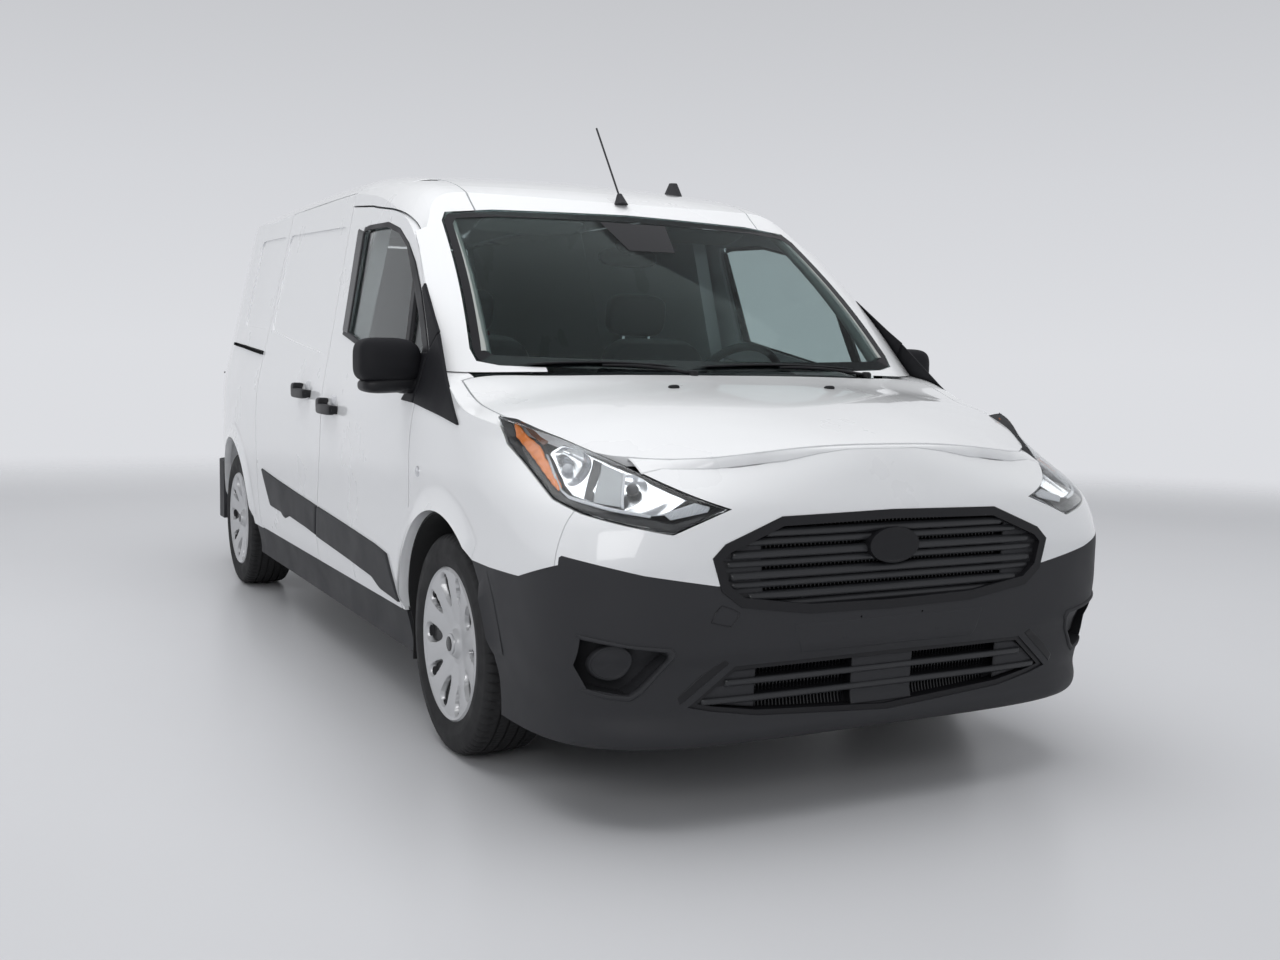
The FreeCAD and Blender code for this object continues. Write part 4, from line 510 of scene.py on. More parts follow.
def make_cover(end, y, side_name, s):
    """Wheel cover on a polar grid: x is a dish, plus ridges on ten spokes in pairs, less ten windows painted
    near-black, which is the black wheel's colour and painted shade for openings that are not cut through.
    Windows are superellipses (dr/R)^2 + (dt/T)^2 < 1, wide and narrow ones in turn."""
    body = "wheel_%s_%s" % (end, side_name)
    r = np.concatenate([np.linspace(0.5, 30, 4), np.linspace(31.5, 60, 9), np.linspace(62, 214, 52),
                        np.linspace(215.5, 224, 7)])
    a = np.linspace(0, 2 * np.pi, 360, endpoint=False)
    r, a = r[None, :] + 0 * a[:, None], a[:, None] + 0 * r[None, :]
    dish = np.interp(r, [0, 33, 36, 44, 60, 110, 165, 205, 213, 218, 224],
                     [92, 92, 90, 76, 75, 83, 92, 98, 99, 104, 98])
    depth = np.zeros_like(r)
    for k in range(10):
        wide = k % 2 == 0
        centre = k * np.pi / 5
        turn = (a - centre + np.pi) % (2 * np.pi) - np.pi
        along_t = r * turn
        if wide:
            mid, long, broad = 158.0, 47.0, 26.0 + 0.2 * (r - 158)
        else:
            mid, long, broad = 166.0, 42.0, 16.0 + 0.2 * (r - 166)
        q = (np.abs(r - mid) / long) ** 2.4 + (np.abs(along_t) / np.maximum(broad, 1.0)) ** 2.4
        depth = np.maximum(depth, np.clip((1.12 - q) / 0.3, 0, 1))
    spoke = np.cos(10 * a) * np.clip((r - 60) / 60, 0, 1) * np.clip((212 - r) / 30, 0, 1)
    x = dish - 1.6 * (1 + spoke) - 17 * depth * np.where(r > 30, 1, 0)
    y_, z_ = y + r * np.cos(a), TYRE_RADIUS + r * np.sin(a)
    grid = np.stack([s * (HUB_X + x), y_, z_], -1)
    cover = grid_piece("wheel_%s_%s_cover" % (end, side_name), grid, wheel_silver, body,
                       wrap_u=True, outward=(s, 0, 0), angle=60)
    # the window depth drives the painted shade in each window
    painted_window_shade = cover.data.attributes.new("window", "FLOAT", "POINT")
    painted_window_shade.data.foreach_set("value", depth.reshape(-1))
    cover.data.materials.clear()
    cover.data.materials.append(cover_with_window_shade)
    rim = [(-100, 206), (-106, 216), (-100, 217), (-96, 205), (-60, 190), (40, 176), (50, 60), (62, 60),
           (66, 176), (80, 198), (86, 200), (92, 214), (90, 216), (84, 206)]
    back = lathe("wheel_%s_%s_rim" % (end, side_name), rim, (HUB_X, y, TYRE_RADIUS), s, satin_black,
                 body, steps=72)
    disc = [(-2, 30), (-2, 62), (0, 140), (18, 140), (18, 70), (50, 70), (50, 30)]
    brake = lathe("wheel_%s_%s_disc" % (end, side_name), disc, (HUB_X, y, TYRE_RADIUS), s, cast_metal,
                  body, steps=72, close=True)
    cap = [(88, 0.4), (96, 0.5), (97.5, 14), (97, 25), (94, 30), (88, 31.5)]
    lathe("wheel_%s_%s_cap" % (end, side_name), cap, (HUB_X, y, TYRE_RADIUS), s, wheel_silver,
          body, steps=48)
    pad = [(97.2, 0.4), (99.0, 0.6), (99.0, 20), (98.4, 21.5), (96.0, 22)]
    lathe("wheel_%s_%s_bare_pad" % (end, side_name), pad, (HUB_X, y, TYRE_RADIUS), s, gloss_black,
          body, steps=48)
    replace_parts(cover, "wheel_%s_%s" % (end, side_name))
    return [back, brake]


def window_shade_finish():
    """Wheel-cover lacquer whose point attribute "window" turns it to the dark behind each opening: painted
    shade in the black wheel's colour, as the openings are not cut through.
    """
    material = finish("cover_lacquer_and_window_shade", (0.56, 0.565, 0.575), 0.34, metallic=0.7, coat=0.4,
                      grain=(900, 0.0002, 0.08))
    tree = material.node_tree
    shader = tree.nodes["Principled BSDF"]
    depth = tree.nodes.new("ShaderNodeAttribute")
    depth.attribute_name = "window"
    step = tree.nodes.new("ShaderNodeMapRange")
    step.inputs["From Min"].default_value = 0.62
    step.inputs["From Max"].default_value = 0.92
    tree.links.new(depth.outputs["Fac"], step.inputs["Value"])
    # near-black painted shade in the windows, in place of openings
    shade = tree.nodes.new("ShaderNodeMix")
    shade.data_type = "RGBA"
    shade.inputs[6].default_value = (0.56, 0.565, 0.575, 1)
    shade.inputs[7].default_value = (0.012, 0.012, 0.013, 1)
    tree.links.new(step.outputs["Result"], shade.inputs[0])
    tree.links.new(shade.outputs[2], shader.inputs["Base Color"])
    return material


cover_with_window_shade = window_shade_finish()
for end, axle_y in (("front", FRONT_AXLE_Y), ("rear", REAR_AXLE_Y)):
    for side_name, s in (("left", 1), ("right", -1)):
        make_tyre(end, axle_y, side_name, s)
        make_cover(end, axle_y, side_name, s)


# Body trim

def side_piece_on(points_low, points_high, rise, finish_used, slot, bodies, name, **more):
    """The same side pad on both sides of the van; bodies holds the body's name with a %s for the side."""
    def make(side_name, s):
        body = bodies % side_name if "%s" in bodies else bodies
        return side_pad("%s_%s" % (name, side_name), points_low, points_high, rise, finish_used, slot,
                        body, s, **more)
    return sides(make)


side_piece_on([(-66, 444), (-500, 422), (-800, 404), (-880, 376), (-1074, 368)],
              [(-106, 566), (-500, 546), (-850, 526), (-985, 512), (-1078, 374)],
              7, grained_plastic, "trim", "front_door_%s", "front_door_cladding", edge=(0.006, 0.05))
side_piece_on([(720, 474), (520, 468), (470, 450), (380, 470), (100, 458), (-52, 448)],
              [(876, 626), (600, 606), (300, 588), (100, 577), (-30, 570), (-92, 566)],
              7, grained_plastic, "trim", "body", "sliding_door_cladding", edge=(0.006, 0.05))


side_piece_on([(-1658, 963), (-1500, 980), (-1350, 994), (-1251, 1004)],
              [(-1656, 968), (-1500, 1080), (-1400, 1163), (-1334, 1217), (-1291, 1168)], 7,
              mirror_plastic, "trim", "body", "sail", edge=(0.01, 0.04), count=(60, 12))
side_piece_on([(-1291, 1165), (-1190, 1261), (-1088, 1358)], [(-1334, 1220), (-1262, 1264), (-1100, 1372)],
              6, mirror_plastic, "trim", "body", "sail_upper", edge=(0.01, 0.06), count=(40, 8))
side_piece_on([(-1244, 1005), (-1264, 1080), (-1282, 1160)], [(-1120, 1010), (-1190, 1068), (-1222, 1160)],
              7, mirror_plastic, "trim", "front_door_%s", "mirror_plate", edge=(0.03, 0.06), count=(24, 16))
side_piece_on([(-829, 1511), (-950, 1411), (-1085, 1299), (-1150, 1241), (-1216, 1184), (-1224, 1120)],
              [(-834, 1516), (-958, 1444), (-1084, 1346), (-1184, 1252), (-1283, 1159), (-1274, 1120)], 4,
              satin_black, "gloss_black", "front_door_%s", "window_front_strip", edge=(0.01, 0.06),
              count=(60, 10))

# window trim: rear strip, divider, sill strip and a thin dark frame
side_piece_on([(-252, 1224), (-338, 1212)], [(-166, 1608), (-262, 1590)], 4, gloss_black, "gloss_black",
              "front_door_%s", "window_rear_strip", edge=(0.1, 0.03), count=(12, 30))
side_piece_on([(-1056, 1086), (-1106, 1080)], [(-948, 1424), (-1000, 1412)], 2, satin_black, "gloss_black",
              "front_door_%s", "window_divider", edge=(0.15, 0.03), count=(10, 30), sink=14)
side_piece_on([(-256, 1214), (-700, 1138), (-1160, 1058), (-1226, 1048)],
              [(-262, 1236), (-700, 1158), (-1160, 1078), (-1230, 1066)], 3, satin_black, "gloss_black",
              "front_door_%s", "window_sill_strip", edge=(0.01, 0.15))
WINDOW_RIM = [(-252, 1600), (-300, 1606), (-543, 1600), (-700, 1567), (-829, 1512), (-1085, 1300),
              (-1215, 1185)]
side_piece_on([(y, z - 14) for y, z in WINDOW_RIM], [(y - 3, z + 5) for y, z in WINDOW_RIM], 2, satin_black,
              "gloss_black", "front_door_%s", "window_head_strip", edge=(0.01, 0.15))
side_piece_on([(1016, 1126), (1450, 1152), (1836, 1167)], [(1014, 1141), (1450, 1165), (1838, 1179)], -9,
              liner_black, "trim", "body", "slide_rail_slot", edge=(0.004, 0.1), sink=-9)


def arch_lip(name, body, centre_y, radius, first, last, finish_used, width=74.0, rise=13.0):
    """Flare round a wheel arch: x = half_width + rise (1 - t)^2 across its width t, turned in at the
    edge."""
    def make(side_name, s):
        a = np.radians(np.linspace(first, last, 90))[:, None]
        t = np.concatenate([[-0.36, -0.33, -0.1, -0.02], np.linspace(0, 1, 16)])[None, :]
        r = radius - 1.5 + width * np.maximum(t, 0) - 2.0 * (t < -0.05)
        y, z = centre_y + r * np.cos(a), TYRE_RADIUS + r * np.sin(a)
        fade = np.clip(np.minimum(np.degrees(a) - first, last - np.degrees(a)) / 6.0, 0, 1)
        x = half_width(y, z) + 0.4 + (rise * np.clip(1 - t, 0, 1) ** 2 * (t >= 0) + rise * (t < 0)) * fade
        x = np.where(t < -0.01, x + t * 90, x)
        grid = np.stack([s * x, y, z], -1)
        return grid_piece("%s_%s" % (name, side_name), grid, finish_used, body, outward=(s, 0, 0.0),
                          angle=60)
    return sides(make)


arch_lip("front_arch_flare", "body", FRONT_AXLE_Y, 390.0, 6, 132, white_paint)
arch_lip("rear_arch_flare", "body", REAR_AXLE_Y, 400.0, 8, 172, white_paint)
arch_lip("bumper_arch_flare", "body", FRONT_AXLE_Y, 390.0, 144, 172, grained_plastic)


def roof_shoulder(side_name, s):
    """Roof's rounded shoulder above the doors: z = roof_height(x, y) from the roof joint out to the line
    where the skin has come down to SHOULDER_LOW, with its outer edge turned down onto the rail."""
    y = np.linspace(SHOULDER_FRONT_Y, SHOULDER_REAR_Y, 120)[:, None]
    outer = np.linspace(SHOULDER_IN_X, 760, 400)[None, :]
    past = (roof_height(outer, y) < SHOULDER_LOW) | (outer > half_width(y, SHOULDER_LOW + 1.0))
    edge_x = outer[0][np.argmax(past, axis=1)][:, None]
    t = np.linspace(0, 1, 24)[None, :]
    x = SHOULDER_IN_X + (edge_x - SHOULDER_IN_X) * t
    z = roof_height(x, y) + 0.3
    x = np.concatenate([x[:, :1], x, edge_x + 0.3], 1)
    z = np.concatenate([z[:, :1] - 14, z, np.full_like(edge_x, SHOULDER_LOW - 3)], 1)
    grid = np.stack([s * x, y + 0 * x, z], -1)
    return grid_piece("roof_shoulder_" + side_name, grid, white_paint, "body",
                      outward=(0.3 * s, 0, 1), wall=1.5, angle=50)


SHOULDER_IN_X, SHOULDER_LOW = 563.0, 1758.5
SHOULDER_FRONT_Y, SHOULDER_REAR_Y = -470.0, 1002.6
sides(roof_shoulder)


def handle(name, body, y, z):
    """Door pull: a bowed superelliptic bar over two round-cornered feet; the section's half-height is
    18.5 - 3 t^8 and it bows out by 5 (1 - t^2)."""
    def make(side_name, s):
        x0 = float(half_width(y, z))
        rides = body % side_name if "%s" in body else body
        t = np.concatenate([[-1.0], np.linspace(-1, 1, 41), [1.0]])[:, None]
        a = np.linspace(0, 2 * np.pi, 32, endpoint=False)[None, :]
        full = np.ones_like(t)
        full[0], full[-1] = 0.02, 0.02
        ca, sa = np.sign(np.cos(a)) * np.abs(np.cos(a)) ** 0.5, np.sign(np.sin(a)) * np.abs(np.sin(a)) ** 0.5
        gx = x0 + 22 + 5 * (1 - t ** 2) + (12.5 - 2 * t ** 8) * ca * full
        gz = z + (18.5 - 3 * t ** 8) * sa * full
        gy = y + 96 * t + 0 * a
        grid = np.stack([s * gx, gy, gz], -1)
        bar = weld(grid_piece("%s_%s" % (name, side_name), grid, satin_black, rides, wrap_v=True,
                              angle=50))
        for number, (dy, half, lift) in enumerate(((-74, 18, 0), (70, 24, 12))):
            pillow("%s_foot_%d_%s" % (name, number, side_name), (s * (x0 + 9 + lift / 3), y + dy, z + lift),
                   (16 + lift / 2, half, 15 + lift), satin_black, rides, power=(0.25, 0.45),
                   counts=(32, 16))
        return bar
    return sides(make)


handle("front_door_handle", "front_door_%s", -303, 943)
handle("sliding_door_handle", "body", 108, 986)


def cup(name, body, y, z):
    """Cap and cup behind a handle: a shallow pad with a raised grey lock cap above its middle, pale as a
    painted highlight of the cup's recess.
    """
    side_piece_on([(y + 60, z - 26), (y - 60, z - 26)], [(y + 60, z + 26), (y - 60, z + 26)], 1.2,
                  white_paint, "paint", body, name + "_cup", edge=(0.12, 0.2), count=(12, 8))
    # the lock cap's pale grey is a painted highlight of the cup's recess
    side_piece_on([(y + 2, z + 12), (y - 62, z + 12)], [(y - 8, z + 52), (y - 54, z + 52)], 7, lamp_light_and_highlight,
                  "trim", body, name + "_lock_cap", edge=(0.3, 0.35), count=(14, 10))


cup("front_door_handle", "front_door_%s", -303, 943)
cup("sliding_door_handle", "body", 108, 986)


def side_badge(side_name, s):
    """Bare round pad on the fender: a lathe of r against a low dome."""
    y, z = -1318.0, 806.0
    x0 = float(half_width(y, z))
    a = np.linspace(0, 2 * np.pi, 40, endpoint=False)[:, None]
    r = np.array([[0.3, 6, 11, 13, 15, 16, 16]])
    x = x0 + np.array([[3.2, 3.0, 2.4, 2.0, 3.0, 2.2, -1]]) + 0 * a
    grid = np.stack([s * x, y + r * np.cos(a), z + r * np.sin(a)], -1)
    return weld(grid_piece("side_badge_%s" % side_name, grid, chrome, "body", wrap_u=True))


sides(side_badge)


def mirror(side_name, s):
    """Door mirror: a superellipsoid shell cut flat at its glass, over a lower base, on an arm to the
    door."""
    body = "front_door_%s" % side_name

    def shell(p):
        p = p.copy()
        x, y, z = p[..., 0] / 96, p[..., 1] / 66, p[..., 2] / 66
        p[..., 1] = np.where(y > 0, np.minimum(p[..., 1], 46),
                             p[..., 1] * (1 - 0.12 * z ** 2 - 0.10 * np.abs(x) ** 3))
        p[..., 2] += -10 * np.clip(-x * s, 0, 1) ** 2 * (z > 0)
        return p

    head = pillow("mirror_head_" + side_name, (s * 972, -1192, 1132), (96, 68, 68), mirror_plastic,
                  body, power=(0.42, 0.5), counts=(72, 44), shape=shell)
    pillow("mirror_base_" + side_name, (s * 968, -1190, 1060), (88, 58, 26), satin_black, body,
           power=(0.5, 0.7), counts=(60, 28), turn=(0, s * 3, 0))
    pillow("mirror_arm_" + side_name, (s * 905, -1200, 1058), (46, 44, 24), satin_black, body,
           power=(0.6, 0.7), counts=(40, 24), turn=(0, s * 8, 0))
    a = np.linspace(0, 2 * np.pi, 64, endpoint=False)[:, None]
    t = np.linspace(0.01, 1, 10)[None, :]
    ca, sa = np.cos(a), np.sin(a)
    gx = s * 974 + 82 * np.sign(ca) * np.abs(ca) ** 0.45 * t
    gz = 1136 + 54 * np.sign(sa) * np.abs(sa) ** 0.5 * t
    glass = np.stack([gx, -1144.5 + 2.5 * t ** 2 + 0 * gx, gz], -1)
    weld(grid_piece("mirror_glass_" + side_name, glass, reflector, body, wrap_u=True,
                    outward=(0, 1, 0)))
    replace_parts(head, "mirror_" + side_name)


sides(mirror)


# Lamps

LAMP_EDGE_UPPER = [(-1342, 797), (-1200, 848), (-1058, 897), (-876, 951), (-760, 980), (-685, 996)]
LAMP_EDGE_LOWER = [(-1342, 797), (-1232, 742), (-1120, 764), (-1013, 786), (-924, 813), (-820, 876),
                   (-732, 929), (-685, 996)]


def corner_grid(lower, upper, u, v, depth):
    """Points between two (u, z) edges laid on the nose skin and set back along its own face by depth(u,
    v)."""
    a, b = along(lower, u), along(upper, u)
    plan = a[:, None] * (1 - v)[None, :, None] + b[:, None] * v[None, :, None]
    x, y = corner_skin(plan[..., 0], plan[..., 1])
    step = 6.0
    x1, y1 = corner_skin(plan[..., 0] + step, plan[..., 1])
    x2, y2 = corner_skin(plan[..., 0] - step, plan[..., 1])
    nx, ny = (y2 - y1), (x1 - x2)
    size = np.hypot(nx, ny) + 1e-9
    nx, ny = nx / size, ny / size
    flip = np.sign(nx * 0.7 - ny * 0.7 + 1e-9)
    d = depth(u[:, None] + 0 * v[None, :], v[None, :] + 0 * u[:, None])
    return np.stack([x - d * nx * flip, y - d * ny * flip, plan[..., 1]], -1)


def headlamp(side_name, s):
    """Lamp in layers on the nose skin: a dark tray with its bezel, an amber strip along the rear edge, a
    bright reflector set back by 22 + 34 (1 - r^2) in its two bowls, a grey divider, a light line and a
    clear cover."""
    u, v = pad_steps(70, 0.02), pad_steps(24, 0.06)
    mirror_x = np.array([s, 1, 1])

    def tray_depth(a, b):
        rim = np.clip(np.minimum(np.minimum(a, 1 - a) / 0.05, np.minimum(b / 0.22, (1 - b) / 0.07)), 0, 1)
        return 5 + 58 * rim ** 0.7

    tray = corner_grid(LAMP_EDGE_LOWER, LAMP_EDGE_UPPER, u, v, tray_depth) * mirror_x
    back = grid_piece("headlamp_tray_" + side_name, tray, satin_black, "body",
                      outward=(s * 0.7, -0.7, 0), angle=50)
    cover = corner_grid(LAMP_EDGE_LOWER, LAMP_EDGE_UPPER, u, v,
                        lambda a, b: 0.6 + 3 * (1 - rim_profile(a, 0.02) * rim_profile(b, 0.06))) * mirror_x
    grid_piece("headlamp_cover_" + side_name, cover, clear_lens, "body",
               outward=(s * 0.7, -0.7, 0), wall=2.4)

    bezel_low = [(u_, z + 2) for u_, z in LAMP_EDGE_LOWER]
    bezel_high = [(-1328, 803), (-1300, 786), (-1232, 764), (-1169, 776), (-1085, 789), (-965, 814),
                  (-938, 824), (-924, 823), (-897, 837), (-856, 863), (-801, 900), (-741, 940), (-722, 980)]
    t, w = pad_steps(90, 0.01), pad_steps(8, 0.2)
    bezel = corner_grid(bezel_low, bezel_high, t, w,
                        lambda a, b: 9 + 14 * b - 4 * rim_profile(b, 0.3)) * mirror_x
    grid_piece("headlamp_bezel_" + side_name, bezel, satin_black, "body",
               outward=(s * 0.7, -0.7, 0), wall=3)

    amber_low = [(-730, 982), (-742, 945), (-801, 904), (-856, 867), (-897, 841), (-924, 827)]
    amber_high = [(-738, 984), (-776, 950), (-822, 926), (-834, 917), (-848, 900), (-893, 868), (-930, 836)]
    amber = corner_grid(amber_low, amber_high, pad_steps(60, 0.03), pad_steps(10, 0.12),
                        lambda a, b: 20 - 6 * rim_profile(a, 0.06) * rim_profile(b, 0.25)
                        + 1.2 * np.cos(a * 60)) * mirror_x
    grid_piece("headlamp_amber_" + side_name, amber, amber_lens, "body",
               outward=(s * 0.7, -0.7, 0), wall=4)
    # wedge at the amber strip's upper end in darker amber: painted shade
    wedge = corner_grid([(-744, 984), (-784, 950), (-826, 928)], [(-748, 985), (-796, 962), (-842, 943)],
                        pad_steps(24, 0.05), pad_steps(8, 0.15), lambda a, b: 26 + 4 * a) * mirror_x
    grid_piece("headlamp_amber_wedge_" + side_name, wedge, amber_painted_shade, "body",
               outward=(s * 0.7, -0.7, 0), wall=4)

    def reflector_depth(a, b):
        deep = 22 + 1.4 * np.cos(46 * a) * np.sin(np.pi * b)
        for centre, reach in ((0.20, 0.165), (0.66, 0.135)):
            r2 = ((a - centre) / reach) ** 2 + ((b - 0.5) / 0.52) ** 2
            deep = deep + 34 * np.clip(1 - r2, 0, 1)
        return deep

    chrome_low = [(-858, 909), (-897, 874), (-936, 838), (-965, 820), (-1085, 794), (-1169, 780),
                  (-1213, 783)]
    chrome_high = [(-860, 914), (-889, 932), (-986, 908), (-1088, 877), (-1190, 842), (-1255, 817)]
    bowls = corner_grid(chrome_low, chrome_high, np.linspace(0, 1, 150), np.linspace(0, 1, 40),
                        reflector_depth) * mirror_x
    grid_piece("headlamp_reflector_" + side_name, bowls, reflector, "body",
               outward=(s * 0.7, -0.7, 0), wall=2)
    for number, (cu, cz, size) in enumerate(((-930, 876, 13), (-1116, 836, 15))):
        cx, cy = corner_skin(np.array([[float(cu)]]), np.array([[float(cz)]]))
        pillow("headlamp_bulb_%d_%s" % (number, side_name), (s * (cx[0, 0] - 20), cy[0, 0] + 30, cz),
               (size, size + 4, size), slat_finish if number else lamp_light_and_highlight, "body",
               power=(1.0, 1.0), counts=(28, 18))
    t, w = pad_steps(24, 0.04), pad_steps(12, 0.06)
    facets = (("divider", [(-1030, 808), (-1108, 800)], [(-1014, 892), (-1080, 872)], lamp_grey, 17),
              ("divider_line", [(-1106, 799), (-1114, 797)], [(-1078, 874), (-1085, 872)], lamp_light_and_highlight, 13),
              ("divider_shade", [(-1000, 815), (-1031, 808)], [(-984, 902), (-1013, 893)], slat_finish, 21))
    for part, low, high, look, deep in facets:
        facet = corner_grid(low, high, t, w, lambda a, b,
                            d=deep: d + 3 * (1 - rim_profile(a, 0.1))) * mirror_x
        grid_piece("headlamp_%s_%s" % (part, side_name), facet, look, "body",
                   outward=(s * 0.7, -0.7, 0), wall=3)
    strip = corner_grid([(-1180, 777), (-1085, 790), (-963, 812), (-936, 826), (-897, 864), (-856, 905)],
                        [(-1180, 784), (-1085, 798), (-960, 820), (-930, 833), (-890, 870), (-852, 910)],
                        pad_steps(60, 0.02), pad_steps(6, 0.3), lambda a,
                        b: 15 - 3 * rim_profile(b, 0.4)) * mirror_x
    grid_piece("headlamp_line_" + side_name, strip, lamp_light_and_highlight, "body",
               outward=(s * 0.7, -0.7, 0), wall=3)
    marker = corner_grid([(-1210, 784), (-1226, 772), (-1302, 789)],
                         [(-1214, 790), (-1272, 811), (-1306, 802)], np.linspace(0, 1, 90),
                         pad_steps(10, 0.1), lambda a,
                         b: 15 + 1.6 * np.abs(np.sin(a * 50)) - 2 * rim_profile(b, 0.2)) * mirror_x
    grid_piece("headlamp_marker_" + side_name, marker, lamp_light_and_highlight, "body",
               outward=(s * 0.7, -0.7, 0), wall=4)
    return back


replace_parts(headlamp("left", 1), "headlamps")
headlamp("right", -1)


# Front

def front_piece(name, low, high, rise, finish_used, slot, edge=(0.02, 0.1), sink=2.0, count=(60, 8),
                back=0.0, shape=None, wall=0.0, body="body"):
    """Pad on the nose between a low and a high line of (x, z) points: its skin is the front face moved
    forward by rise E(u) E(v) - sink (1 - E) - back."""
    u, v = pad_steps(count[0], edge[0]), pad_steps(count[1], edge[1])
    a, b = along(low, u), along(high, u)
    plan = a[:, None] * (1 - v)[None, :, None] + b[:, None] * v[None, :, None]
    lift = rim_profile(u, edge[0])[:, None] * rim_profile(v, edge[1])[None, :]
    y = front_face(plan[..., 0], plan[..., 1]) - rise * lift + sink * (1 - lift) + back
    if shape is not None:
        y = y + shape(plan[..., 0], plan[..., 1])
    grid = np.stack([plan[..., 0], y, plan[..., 1]], -1)
    return grid_piece(name, grid, finish_used, body, outward=(0, -1, 0), wall=wall, angle=50)


def fascia_lip():
    """Rolled top edge of the fascia: a ruled strip from the fascia's top line to 4.5 mm ahead of the
    hood's edge, with a flange turned down behind it, so that the seam is a thin line."""
    x = np.linspace(-650, 650, 200)[:, None]
    top_z = np.interp(np.abs(x), *np.array(FASCIA_TOP).T) - 2.0
    edge_y = np.interp(np.abs(x), *np.array(HOOD_EDGE).T) - 4.5
    edge_z = np.maximum(hood_height(x, edge_y) - 2.5, top_z + 3)
    top_y = np.minimum(front_face(x, top_z) - 0.6, edge_y - 0.5)
    v = np.linspace(0, 1, 10)[None, :]
    bulge = 1.5 * np.sin(np.pi * v)
    y = top_y * (1 - v) + edge_y * v - bulge
    z = top_z * (1 - v) + edge_z * v + bulge
    y = np.concatenate([y, edge_y + 1.2, edge_y + 1.6], 1)
    z = np.concatenate([z, edge_z - 1.0, edge_z - 8.0], 1)
    grid = np.stack([x + 0 * y, y, z], -1)
    return grid_piece("fascia_top_lip", grid, white_paint, "body", outward=(0, -0.6, 0.8),
                      angle=40, wall=1.2)


def mirrored_pair(name, low, high, rise, finish_used, slot, **more):
    for side_name, s in (("left", 1), ("right", -1)):
        front_piece("%s_%s" % (name, side_name), [(s * x, z) for x, z in low],
                    [(s * x, z) for x, z in high], rise, finish_used, slot, **more)


FASCIA_TOP = [(0, 938), (110, 937), (200, 926), (300, 908), (360, 903), (420, 896), (480, 890), (540, 889),
              (600, 888), (640, 879), (660, 874)]
HOOD_EDGE = [(0, FRONT_Y + 78), (200, FRONT_Y + 80), (360, FRONT_Y + 90), (480, FRONT_Y + 120),
             (570, FRONT_Y + 174), (640, FRONT_Y + 240), (700, FRONT_Y + 300)]
fascia_lip()

SLATS = (738, 686, 634, 582)
for number, z in enumerate(SLATS):
    for row, (low_z, high_z, proud) in enumerate(((-34, -14, 9.0), (-14, 10, 13.0))):
        half = float(np.interp(z + low_z, [526, 559, 600, 682, 715, 777],
                               [200, 436, 496, 516, 470, 330])) - 18
        half = min(half, float(np.interp(z + high_z, [526, 559, 600, 682, 715, 777],
                                         [200, 436, 496, 516, 470, 330])) - 18)
        front_piece("grille_slat_%d_%d" % (number, row), [(-half, z + low_z), (half, z + low_z)],
                    [(-half, z + high_z), (half, z + high_z)], proud, slat_finish, "gloss_black",
                    edge=(0.01, 0.45), back=19.0, sink=4, count=(90, 10))
rib_x = np.arange(-366, 367, 12.2)
ribs = []
for x in rib_x:
    low_z = float(np.interp(abs(x), [0, 258, 456, 510], [534, 539, 567, 606]))
    high_z = float(np.interp(abs(x), [0, 340, 500], [772, 766, 712]))
    z = np.linspace(low_z, high_z, 12)[:, None]
    d = np.array([[-3.2, -1.6, 1.6, 3.2]])
    rise = np.array([[0.0, 7.0, 7.0, 0.0]])
    xx = x + d + 0 * z
    ribs.append(np.stack([xx, front_face(xx, z + 0 * d) + 41 - rise, z + 0 * d], -1))
points = np.concatenate([r.reshape(-1, 3) for r in ribs])
faces = np.concatenate([grid_faces(12, 4, start=48 * k) for k in range(len(ribs))])
mesh_piece("grille_ribs", points, faces, gloss_black, "body", outward=(0, -1, 0))
mirrored_pair("grille_end_panel", [(380, 548), (452, 566), (500, 604), (520, 676)],
              [(392, 764), (420, 752), (478, 716), (516, 684)], 5, grained_plastic, "trim", back=22,
              edge=(0.04, 0.06), count=(30, 14), wall=6)
LOWER_RIBS = []
for x in np.concatenate([np.arange(-372, -104, 10.6), np.arange(106, 374, 10.6)]):
    low_z = float(np.interp(abs(x), [0, 391, 519], [270, 292, 312]))
    high_z = 400.0
    z = np.linspace(low_z, high_z, 8)[:, None]
    d = np.array([[-2.8, -1.4, 1.4, 2.8]])
    rise = np.array([[0.0, 6.0, 6.0, 0.0]])
    xx = x + d + 0 * z
    LOWER_RIBS.append(np.stack([xx, front_face(xx, z + 0 * d) + 47 - rise, z + 0 * d], -1))
points = np.concatenate([r.reshape(-1, 3) for r in LOWER_RIBS])
faces = np.concatenate([grid_faces(8, 4, start=32 * k) for k in range(len(LOWER_RIBS))])
mesh_piece("lower_grille_ribs", points, faces, gloss_black, "body", outward=(0, -1, 0))
mirrored_pair("lower_grille_end_panel", [(388, 296), (520, 316), (566, 322)],
              [(388, 398), (452, 398), (560, 330)], 4, grained_plastic, "trim", back=18, edge=(0.04, 0.08),
              count=(24, 12), wall=6)
front_piece("lower_grille_middle_panel", [(-98, 274), (98, 274)], [(-98, 402), (98, 402)], 3,
            grained_plastic, "trim", back=14, edge=(0.05, 0.06), count=(24, 14), wall=6)
for number, z in enumerate((366, 322)):
    half = 478 if z > 340 else 540
    front_piece("lower_grille_bar_%d" % number, [(-half, z - 9), (half, z - 9)],
                [(-half, z + 9), (half, z + 9)], 4, slat_finish, "gloss_black", edge=(0.01, 0.4), back=9,
                sink=3, count=(90, 8))
a = np.linspace(0, 2 * np.pi, 64, endpoint=False)[:, None]
t = np.concatenate([np.linspace(0.01, 0.8, 8), np.linspace(0.84, 1, 8)])[None, :]
pad_x, pad_z = 72 * np.cos(a) * t, 691 + 44 * np.sin(a) * t
rise = 3.5 * np.clip((t - 0.8) / 0.05, 0, 1) * np.sqrt(np.clip(1 - ((t - 0.92) / 0.09) ** 2, 0, 1))
